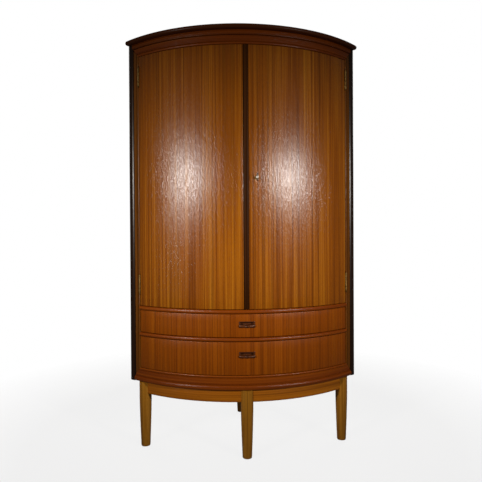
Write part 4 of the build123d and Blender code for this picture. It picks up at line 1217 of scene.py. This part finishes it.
# %% [markdown]
# ## Hinges, lock and bolts
#
# Small metal parts are judged by their edges. Knuckles get a narrow chamfer at each end, which
# draws the fine dark lines between them; plates get eased edges; the pin ends in little domes.

# %% The hinges
PIVOT = JOINTS["right_door_hinge"]["pos_m"]
PIVOT_ANGLE = atan2(PIVOT[0], AXIS_Y - PIVOT[1])
HINGE_PLACE = Matrix.Translation((PIVOT[0], PIVOT[1], 0)) @ Matrix.Rotation(PIVOT_ANGLE, 4, "Z")
KNUCKLES, KNUCKLE_R, KNUCKLE_GAP = 5, 3.4 * MM, 0.15 * MM
LEAF_OUT, LEAF_IN, LEAF_T, LEAF_GAP = 2.2 * MM, 19 * MM, 1.5 * MM, 0.4 * MM
PIN_R, DOME_R, DOME_RISE, DOME_UP = 1.45 * MM, 2.1 * MM, 2.4 * MM, 0.3 * MM


def knuckle(z0, z1):
    """One knuckle of a hinge, chamfered at both ends."""
    cut = 0.45 * MM
    outline = [(0, z0), (KNUCKLE_R - cut, z0), (KNUCKLE_R, z0 + cut),
               (KNUCKLE_R, z1 - cut), (KNUCKLE_R - cut, z1), (0, z1)]
    return turned(outline, 28, HINGE_PLACE)


def hinge_half(on_frame):
    """The knuckles and leaf of every hinge on the right, for the frame or for the door."""
    shells = []
    for low, high in HINGES:
        pitch = (high - low) / KNUCKLES
        for i in range(1 if on_frame else 0, KNUCKLES, 2):
            shells.append(knuckle(low + i * pitch + KNUCKLE_GAP, low + (i + 1) * pitch - KNUCKLE_GAP))
        x0, x1 = (LEAF_GAP, LEAF_GAP + LEAF_T) if on_frame else (-LEAF_GAP - LEAF_T, -LEAF_GAP)
        shells.append(eased_block((x0, LEAF_OUT, low), (x1, LEAF_IN, high), 0.3 * MM, HINGE_PLACE))
    return shells


frame_half, door_half = hinge_half(True), hinge_half(False)
both = frame_half + [mirrored(shell) for shell in frame_half]
left_half = [mirrored(shell) for shell in door_half]
stands_for(piece("frame_hinge_plates", both, BRASS), "frame_hinge_leaves")
stands_for(piece("right_door_hinge_plates", door_half, BRASS), "right_door_hinge_leaves")
stands_for(piece("left_door_hinge_plates", left_half, BRASS), "left_door_hinge_leaves")
pins = []
for low, high in HINGES:
    turns = [pi / 2 * i / 5 for i in range(6)]
    dome = [(DOME_R * cos(turn), high + DOME_UP + DOME_RISE * sin(turn)) for turn in turns]
    foot = [(r, low + high - z) for r, z in reversed(dome)]
    pins.append(turned(foot + [(PIN_R, low), (PIN_R, high)] + dome, 20, HINGE_PLACE))
stands_for(piece("domed_hinge_pins", pins + [mirrored(pin) for pin in pins], BRASS), "hinge_pins")

# %% [markdown]
# Screws and shelf pegs repeat, so they are put in place by a rule. The tree takes a cloud of points,
# stands one fitting on each, turns it to the direction stored in the point's "aim", and then twists
# it by a random amount, since no two screw slots ever stop at the same angle.

# %% The node tree that sets fittings on points
def fittings_tree():
    """Points with an aim in, one fitting on each out."""
    tree = bpy.data.node_groups.new("Fittings on points", "GeometryNodeTree")
    face = tree.interface
    face.new_socket("Points", in_out="INPUT", socket_type="NodeSocketGeometry")
    face.new_socket("Fitting", in_out="INPUT", socket_type="NodeSocketObject")
    face.new_socket("Twist", in_out="INPUT", socket_type="NodeSocketFloat")
    face.new_socket("Seed", in_out="INPUT", socket_type="NodeSocketInt")
    face.new_socket("Material", in_out="INPUT", socket_type="NodeSocketMaterial")
    face.new_socket("Fittings", in_out="OUTPUT", socket_type="NodeSocketGeometry")
    nodes, links = tree.nodes, tree.links
    start, end = nodes.new("NodeGroupInput"), nodes.new("NodeGroupOutput")
    given = start.outputs
    shape = nodes.new("GeometryNodeObjectInfo")
    links.new(given["Fitting"], shape.inputs["Object"])
    aim = nodes.new("GeometryNodeInputNamedAttribute")
    aim.data_type = "FLOAT_VECTOR"
    aim.inputs["Name"].default_value = "aim"
    align = nodes.new("FunctionNodeAlignRotationToVector")
    align.axis = "Z"
    links.new(aim.outputs["Attribute"], align.inputs["Vector"])
    random = nodes.new("FunctionNodeRandomValue")
    random.data_type = "FLOAT"
    low, high = [s for s in random.inputs if s.name in ("Min", "Max") and s.type == "VALUE"]
    low.default_value = 0.0
    links.new(given["Twist"], high)
    links.new(given["Seed"], random.inputs["Seed"])
    twist = nodes.new("FunctionNodeAxisAngleToRotation")
    twist.inputs["Axis"].default_value = (0, 0, 1)
    links.new([s for s in random.outputs if s.type == "VALUE"][0], twist.inputs["Angle"])
    turn = nodes.new("FunctionNodeRotateRotation")
    turn.rotation_space = "LOCAL"
    links.new(align.outputs[0], turn.inputs["Rotation"])
    links.new(twist.outputs[0], turn.inputs["Rotate By"])
    stand = nodes.new("GeometryNodeInstanceOnPoints")
    links.new(given["Points"], stand.inputs["Points"])
    links.new(shape.outputs["Geometry"], stand.inputs["Instance"])
    links.new(turn.outputs[0], stand.inputs["Rotation"])
    real = nodes.new("GeometryNodeRealizeInstances")
    links.new(stand.outputs[0], real.inputs[0])
    paint = nodes.new("GeometryNodeSetMaterial")
    links.new(real.outputs[0], paint.inputs["Geometry"])
    links.new(given["Material"], paint.inputs["Material"])
    links.new(paint.outputs[0], end.inputs[0])
    return tree


FITTINGS_TREE = fittings_tree()


def fittings(name, places, fitting, material, twist=2 * pi, seed=7):
    """One object with a fitting at each (point, aim)."""
    mesh = bpy.data.meshes.new(name + "_points")
    mesh.from_pydata([point for point, aim in places], [], [])
    aims = mesh.attributes.new("aim", "FLOAT_VECTOR", "POINT")
    for i, (point, aim) in enumerate(places):
        aims.data[i].vector = aim
    obj = run_tree(name, mesh, FITTINGS_TREE, Fitting=fitting, Twist=twist, Seed=seed, Material=material)
    print(name, "has", len(places), "fittings")
    return obj


def screw_pattern(radius, length):
    """A countersunk screw, head outwards along z, with a slot cut across it."""
    slot, deep = radius * 0.16, radius * 0.3
    edge = asin(slot / radius)
    turns = [edge + (pi - 2 * edge) * i / 10 for i in range(11)]
    shells = []
    for side in (1, -1):
        arc = [(radius * cos(turn), side * radius * sin(turn)) for turn in turns]
        low = [(x, y, -deep) for x, y in arc]
        crown = [(x * 0.92, side * slot + (y - side * slot) * 0.92, 0.12 * radius) for x, y in arc]
        shells.append(loft([low, [(x, y, 0) for x, y in arc], crown]))
    shells.append(turned([(0, -length), (radius * 0.3, -length * 0.8), (radius * 0.42, -radius * 1.1),
                          (radius * 0.97, -deep * 1.02), (0, -deep * 1.01)], 16))
    return piece(f"screw_pattern_{round(radius / MM * 10)}", shells, NICKEL)


LEAF_SCREW = screw_pattern(2.9 * MM, 10 * MM)
SCREW_IN, SCREW_STEP, SCREW_SUNK = 13 * MM, 26 * MM, 0.1 * MM


def leaf_screw_places(side, mirror):
    """Point and aim of the screws of every hinge leaf; side is 1 for the frame, -1 for the door."""
    places = []
    for low, high in HINGES:
        for step in (-1, 0, 1):
            x = side * (LEAF_GAP + SCREW_SUNK)
            point = HINGE_PLACE @ Vector((x, SCREW_IN, (low + high) / 2 + step * SCREW_STEP))
            aim = HINGE_PLACE.to_3x3() @ Vector((-side, 0, 0))
            if mirror:
                point, aim = Vector((-point.x, point.y, point.z)), Vector((-aim.x, aim.y, aim.z))
            places.append((point, aim))
    return places


frame_places = leaf_screw_places(1, False) + leaf_screw_places(1, True)
stands_for(fittings("frame_leaf_screws", frame_places, LEAF_SCREW, NICKEL, seed=3), "frame_hinge_screws")
stands_for(fittings("right_leaf_screws", leaf_screw_places(-1, False), LEAF_SCREW, NICKEL, seed=4),
           "right_door_hinge_screws")
stands_for(fittings("left_leaf_screws", leaf_screw_places(-1, True), LEAF_SCREW, NICKEL, seed=5),
           "left_door_hinge_screws")

# %% [markdown]
# Every shelf rests on four brass pegs that stand out of the walls, each with a small collar that
# stops it at the wood. One peg is turned on the lathe, and the same tree stands a copy at every
# place, so a new shelf would need only four more points.

# %% Shelf pegs
PEG_R, PEG_YS = 2.9 * MM, (-60 * MM, 190 * MM)
peg = piece("peg_pattern", [turned([(0, -11 * MM), (PEG_R, -11 * MM), (PEG_R, 0), (PEG_R * 1.25, 0.2 * MM),
                                    (PEG_R * 1.25, 1.2 * MM), (PEG_R, 1.5 * MM), (PEG_R, 9.2 * MM),
                                    (PEG_R * 0.7, 10.4 * MM), (0, 10.8 * MM)], 20)], BRASS)
places = []
for low, high in heights("shelf_pegs"):
    for y in PEG_YS:
        for side in (1, -1):
            places.append((Vector((side * (INNER_SUM - y), y, (low + high) / 2)),
                           Vector((-side / sqrt(2), -1 / sqrt(2), 0))))
stands_for(fittings("brass_shelf_pegs", places, peg, BRASS), "shelf_pegs")


# %% [markdown]
# ## Lock and key
#
# The lock is a metal case on the back of the right door. Its bolt slides into a pocket in a plate on
# the left door, and a round brass plate lines the keyhole in front. All but that plate are blocks
# with eased edges, set square to the key; the pocket is cut out with a Boolean, so that the bolt
# finds real room there. The keyhole plate is a ring turned round the key, so it closes on itself and
# needs no end faces.

# %% The lock, its bolt and the catch
def local_box(node, matrix):
    """A node's lowest and highest corner in the frame of a place."""
    back = matrix.inverted()
    points = [back @ v for v in corners(node)]
    return (Vector([min(p[i] for p in points) for i in range(3)]),
            Vector([max(p[i] for p in points) for i in range(3)]))


KEY_POS = JOINTS["key_turn"]["pos_m"]
KEY_PLACE = placed(LEAF_R, asin(KEY_POS[0] / LEAF_R), KEY_POS[2])
INWARDS = Matrix.Rotation(-pi / 2, 4, "X")
low, high = local_box("lock_case", KEY_PLACE)
rim = 1.6 * MM
case = [eased_block(low, (high.x, high.y - rim, high.z), 0.8 * MM, KEY_PLACE),
        eased_block((low.x + rim, high.y - rim - 0.2 * MM, low.z + rim),
                    (high.x - rim, high.y, high.z - rim),
                    0.5 * MM, KEY_PLACE)]
stands_for(piece("lock_box", case, NICKEL), "lock_case")
low, high = local_box("lock_bolt", KEY_PLACE)
stands_for(piece("lock_tongue", [eased_block(low, high, 0.6 * MM, KEY_PLACE)], NICKEL), "lock_bolt")

low, high = local_box("strike_plate", KEY_PLACE)
pocket = [p for p in (KEY_PLACE.inverted() @ v for v in corners("strike_plate"))
          if low.z + MM / 2 < p.z < high.z - MM / 2]
pocket_low = [min(p[i] for p in pocket) for i in range(3)]
pocket_high = [max(p[i] for p in pocket) for i in range(3)]
pocket_high[0] += MM
catch = piece("catch_plate", [eased_block(low, high, 0.6 * MM, KEY_PLACE)], NICKEL)
stands_for(cut_away(catch, [eased_block(pocket_low, pocket_high, 0.1 * MM, KEY_PLACE)]), "strike_plate")

low, high = local_box("escutcheon", KEY_PLACE)
plate_r, hole_r = (high.x - low.x) / 2, 3.0 * MM
plate = [(hole_r, high.y), (hole_r, low.y + 0.2 * MM), (3.4 * MM, low.y),
         (plate_r * 0.72, low.y + 0.15 * MM), (plate_r * 0.8, low.y + 0.6 * MM),
         (plate_r * 0.95, low.y + 0.7 * MM), (plate_r, 0.2 * MM), (plate_r, high.y), (hole_r, high.y)]
points, faces = turned(plate, 40, KEY_PLACE @ INWARDS)
stands_for(piece("keyhole_plate", [(points, faces[2:])], BRASS), "escutcheon")


# %% [markdown]
# The key has an oval bow of round wire, a turned shank with two collars, and a bit with a gap
# between its two teeth. The bow could be a torus squashed flat, but that would squash the wire too,
# so a circle is swept round an oval instead. The lathe makes the shank, and three eased blocks the
# bit.

# %% The key
def hoop(half_y, half_z, wire, centre, matrix, around=40, sides=12):
    """An oval ring of round wire in the plane of y and z."""
    points, faces = [], []
    for i in range(around):
        t = 2 * pi * i / around
        middle = Vector((0, half_y * cos(t), half_z * sin(t)))
        out = Vector((0, cos(t) / half_y, sin(t) / half_z)).normalized()
        for j in range(sides):
            s = 2 * pi * j / sides
            skin = out * wire * cos(s) + Vector((wire * 1.1 * sin(s), 0, 0))
            points.append(matrix @ (centre + middle + skin))
    for i in range(around):
        for j in range(sides):
            a, b = i * sides, (i + 1) % around * sides
            k = (j + 1) % sides
            faces.append([a + j, a + k, b + k, b + j])
    return points, faces


low, high = local_box("key", KEY_PLACE)
wire, bow_y, bow_z = 1.5 * MM, 12.5 * MM, 16 * MM
bow_centre = Vector((0, low.y + bow_y, 0))
shank_start = bow_centre.y + bow_y - wire - 0.5 * MM
shank_r = 2.45 * MM
shank = [(0, shank_start), (shank_r, shank_start), (shank_r, -12.4 * MM), (3.5 * MM, -12 * MM),
         (3.6 * MM, -10.6 * MM), (3.5 * MM, -9.2 * MM), (shank_r, -8.8 * MM), (shank_r, -7.6 * MM),
         (3.0 * MM, -7.2 * MM), (3.0 * MM, -6.2 * MM), (shank_r, -5.8 * MM),
         (shank_r, high.y - 0.8 * MM), (shank_r - 0.8 * MM, high.y), (0, high.y)]
key = [hoop(bow_y - wire, bow_z - wire, wire, bow_centre, KEY_PLACE),
       turned(shank, 28, KEY_PLACE @ INWARDS)]
for y0, y1, hangs in ((22, 24, 8), (25, 27, 8), (22, 27, 5)):
    key.append(eased_block((-MM, y0 * MM, -hangs * MM), (MM, y1 * MM, 0), 0.2 * MM, KEY_PLACE))
stands_for(piece("door_key", key, NICKEL), "key")

# %% [markdown]
# ## Slide bolts
#
# The left door is held by two round brass bolts on its back, one up and one down, that are pushed
# home by a small knob and run in staples. They are turned pieces, so each is an outline for the
# lathe; only the staples are blocks.

# %% The slide bolts of the left door
BOLT_R, STAPLE_FRONT = 3.0 * MM, -10.0 * MM
for end in ("top", "bottom"):
    node = f"{end}_slide_bolt"
    z0, z1 = span(node)
    cx, cy = bolt_axis(end)
    place = Matrix.Translation((cx, cy, 0)) @ Matrix.Rotation(atan2(cx, AXIS_Y - cy), 4, "Z")
    rod = turned([(0, z0), (BOLT_R - 0.8 * MM, z0), (BOLT_R - 0.05 * MM, z0 + 0.8 * MM),
                  (BOLT_R - 0.05 * MM, z1 - 0.8 * MM), (BOLT_R - 0.8 * MM, z1), (0, z1)], 24, place)
    to_knob = place @ Matrix.Translation((0, 0, (z0 + z1) / 2)) @ INWARDS
    knob = turned([(0, 1 * MM), (2.0 * MM, 1 * MM), (1.7 * MM, 6 * MM), (3.3 * MM, 8 * MM),
                   (3.5 * MM, 9.8 * MM), (2.6 * MM, 11.6 * MM), (0, 12 * MM)], 24, to_knob)
    stands_for(piece(f"{end}_shoot_bolt", [rod, knob], BRASS), node)
    if end == "top":
        guide_low, guide_high = local_box("bolt_guides", place)
        guides = []
        for low, high in heights("bolt_guides", 0.01):
            front, rear = (guide_low.x, STAPLE_FRONT, low), (guide_high.x, guide_high.y, high)
            guides.append(eased_block(front, rear, 0.8 * MM, place))
        stands_for(piece("bolt_staples", guides, BRASS), "bolt_guides")

# %% [markdown]
# ## Camera
#
# The camera stands a little left of the middle, just above half the cabinet's height, close enough
# for the bowed front to show: the top mouldings arch up and the lower ones hang down.

# %% Camera
CAMERA_PLACE = Vector((-0.1283, -2.1013, 0.8597))
HEADING, PITCH, ROLL = radians(3.36), radians(-0.529), radians(0.313)
camera = bpy.data.cameras.new("Camera")
camera.lens, camera.sensor_width = 35.6, 36.0
camera_object = bpy.data.objects.new("Camera", camera)
bpy.context.scene.collection.objects.link(camera_object)
turn = Matrix.Rotation(-HEADING, 4, "Z") @ Matrix.Rotation(pi / 2 + PITCH, 4, "X")
turn = turn @ Matrix.Rotation(-ROLL, 4, "Z")
camera_object.matrix_world = Matrix.Translation(CAMERA_PLACE) @ turn
bpy.context.scene.camera = camera_object
bpy.context.scene.view_settings.view_transform = "Standard"
print("camera at", [round(v, 2) for v in CAMERA_PLACE], "with a lens of", camera.lens, "mm")

# %% [markdown]
# ## Light
#
# A polished, bowed door shows a lamp as an upright glow, so one lamp on each side of the camera gives
# each door its own. Large lamps would be softer, but their glow would cover the grain; small ones
# keep it in one place. Their beams are narrow, which leaves the top and the foot of the cabinet
# darker than the middle. Two wide lamps behind light the back and the top when seen from there.

# %% Lights
def soft_box(name, place, aim, width, height, watts, beam):
    """A rectangular lamp that faces a point; beam is the full angle that its light stays in."""
    lamp = bpy.data.lights.new(name, "AREA")
    lamp.shape, lamp.size, lamp.size_y, lamp.energy = "RECTANGLE", width, height, watts
    lamp.spread, lamp.color = beam, (1.0, 0.96, 0.91)
    obj = bpy.data.objects.new(name, lamp)
    bpy.context.scene.collection.objects.link(obj)
    facing = (Vector(aim) - Vector(place)).to_track_quat("-Z", "Y")
    obj.matrix_world = Matrix.Translation(place) @ facing.to_matrix().to_4x4()


soft_box("Left soft box", (-2.0, -2.1, 1.4), (-0.1, -0.2, 0.8), 0.2, 0.2, 3.05, radians(42))
soft_box("Right soft box", (1.75, -2.25, 1.4), (0.1, -0.2, 0.8), 0.2, 0.2, 3.05, radians(42))
soft_box("Back left soft box", (-2.0, 2.1, 2.5), (0, 0, 0.9), 1.6, 1.6, 8, radians(120))
soft_box("Back right soft box", (2.0, 2.1, 2.5), (0, 0, 0.9), 1.6, 1.6, 8, radians(120))
print("lamps:", ", ".join(lamp.name for lamp in bpy.data.lights))

# %% [markdown]
# ## Surround and floor
#
# The surround is pure white to the camera but only a dim, warm fill to the wood, or the dark posts
# would turn grey. The floor is a pale disc, nearly clear, that takes a soft shadow and fades out
# towards its rim, so that no edge shows.

# %% Surround and floor
FILL_COLOUR, FILL_STRENGTH = (1, 0.95, 0.9, 1), 0.07
FLOOR_R, FADE_FROM, FLOOR_ALPHA = 1.7, 0.9, 0.16
world = bpy.data.worlds.new("Surround")
bpy.context.scene.world = world
world.use_nodes = True
nodes, links = world.node_tree.nodes, world.node_tree.links
nodes.clear()
seen, fill = nodes.new("ShaderNodeBackground"), nodes.new("ShaderNodeBackground")
seen.inputs["Color"].default_value, seen.inputs["Strength"].default_value = (1, 1, 1, 1), 1.0
fill.inputs["Color"].default_value, fill.inputs["Strength"].default_value = FILL_COLOUR, FILL_STRENGTH
path, choose = nodes.new("ShaderNodeLightPath"), nodes.new("ShaderNodeMixShader")
links.new(path.outputs["Is Camera Ray"], choose.inputs[0])
links.new(fill.outputs[0], choose.inputs[1])
links.new(seen.outputs[0], choose.inputs[2])
surround = nodes.new("ShaderNodeOutputWorld")
links.new(choose.outputs[0], surround.inputs["Surface"])

floor_mesh = bpy.data.meshes.new("Floor")
rim_points = [(FLOOR_R * cos(2 * pi * i / 96), FLOOR_R * sin(2 * pi * i / 96), 0) for i in range(96)]
floor_mesh.from_pydata(rim_points, [], [list(range(96))])
floor_obj = bpy.data.objects.new("Floor", floor_mesh)
bpy.context.scene.collection.objects.link(floor_obj)
floor_paint = bpy.data.materials.new("Pale floor")
floor_paint.use_nodes = True
nodes, links = floor_paint.node_tree.nodes, floor_paint.node_tree.links
nodes.clear()
shader = nodes.new("ShaderNodeBsdfPrincipled")
shader.inputs["Base Color"].default_value = (0.8, 0.8, 0.8, 1)
shader.inputs["Roughness"].default_value = 0.9
shader.inputs["Specular IOR Level"].default_value = 0.1
coords = nodes.new("ShaderNodeTexCoord")
away = nodes.new("ShaderNodeVectorMath")
away.operation = "LENGTH"
links.new(coords.outputs["Object"], away.inputs[0])
fade = spread(nodes, links, away.outputs["Value"], FADE_FROM, FLOOR_R - 0.02, FLOOR_ALPHA, 0.0)
links.new(fade, shader.inputs["Alpha"])
output = nodes.new("ShaderNodeOutputMaterial")
links.new(shader.outputs[0], output.inputs["Surface"])
floor_mesh.materials.append(floor_paint)
floor_obj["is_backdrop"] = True
print("floor radius:", FLOOR_R, "m")

# %% Measure and finish
for pattern in (LEAF_SCREW, peg):
    bpy.data.objects.remove(pattern)
bpy.context.view_layer.update()
NEW_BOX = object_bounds()
for corner, was, now in zip(("low", "high"), CAD_BOX, NEW_BOX):
    print(corner, "corner:", [round(v, 4) for v in was], "now", [round(v, 4) for v in now])
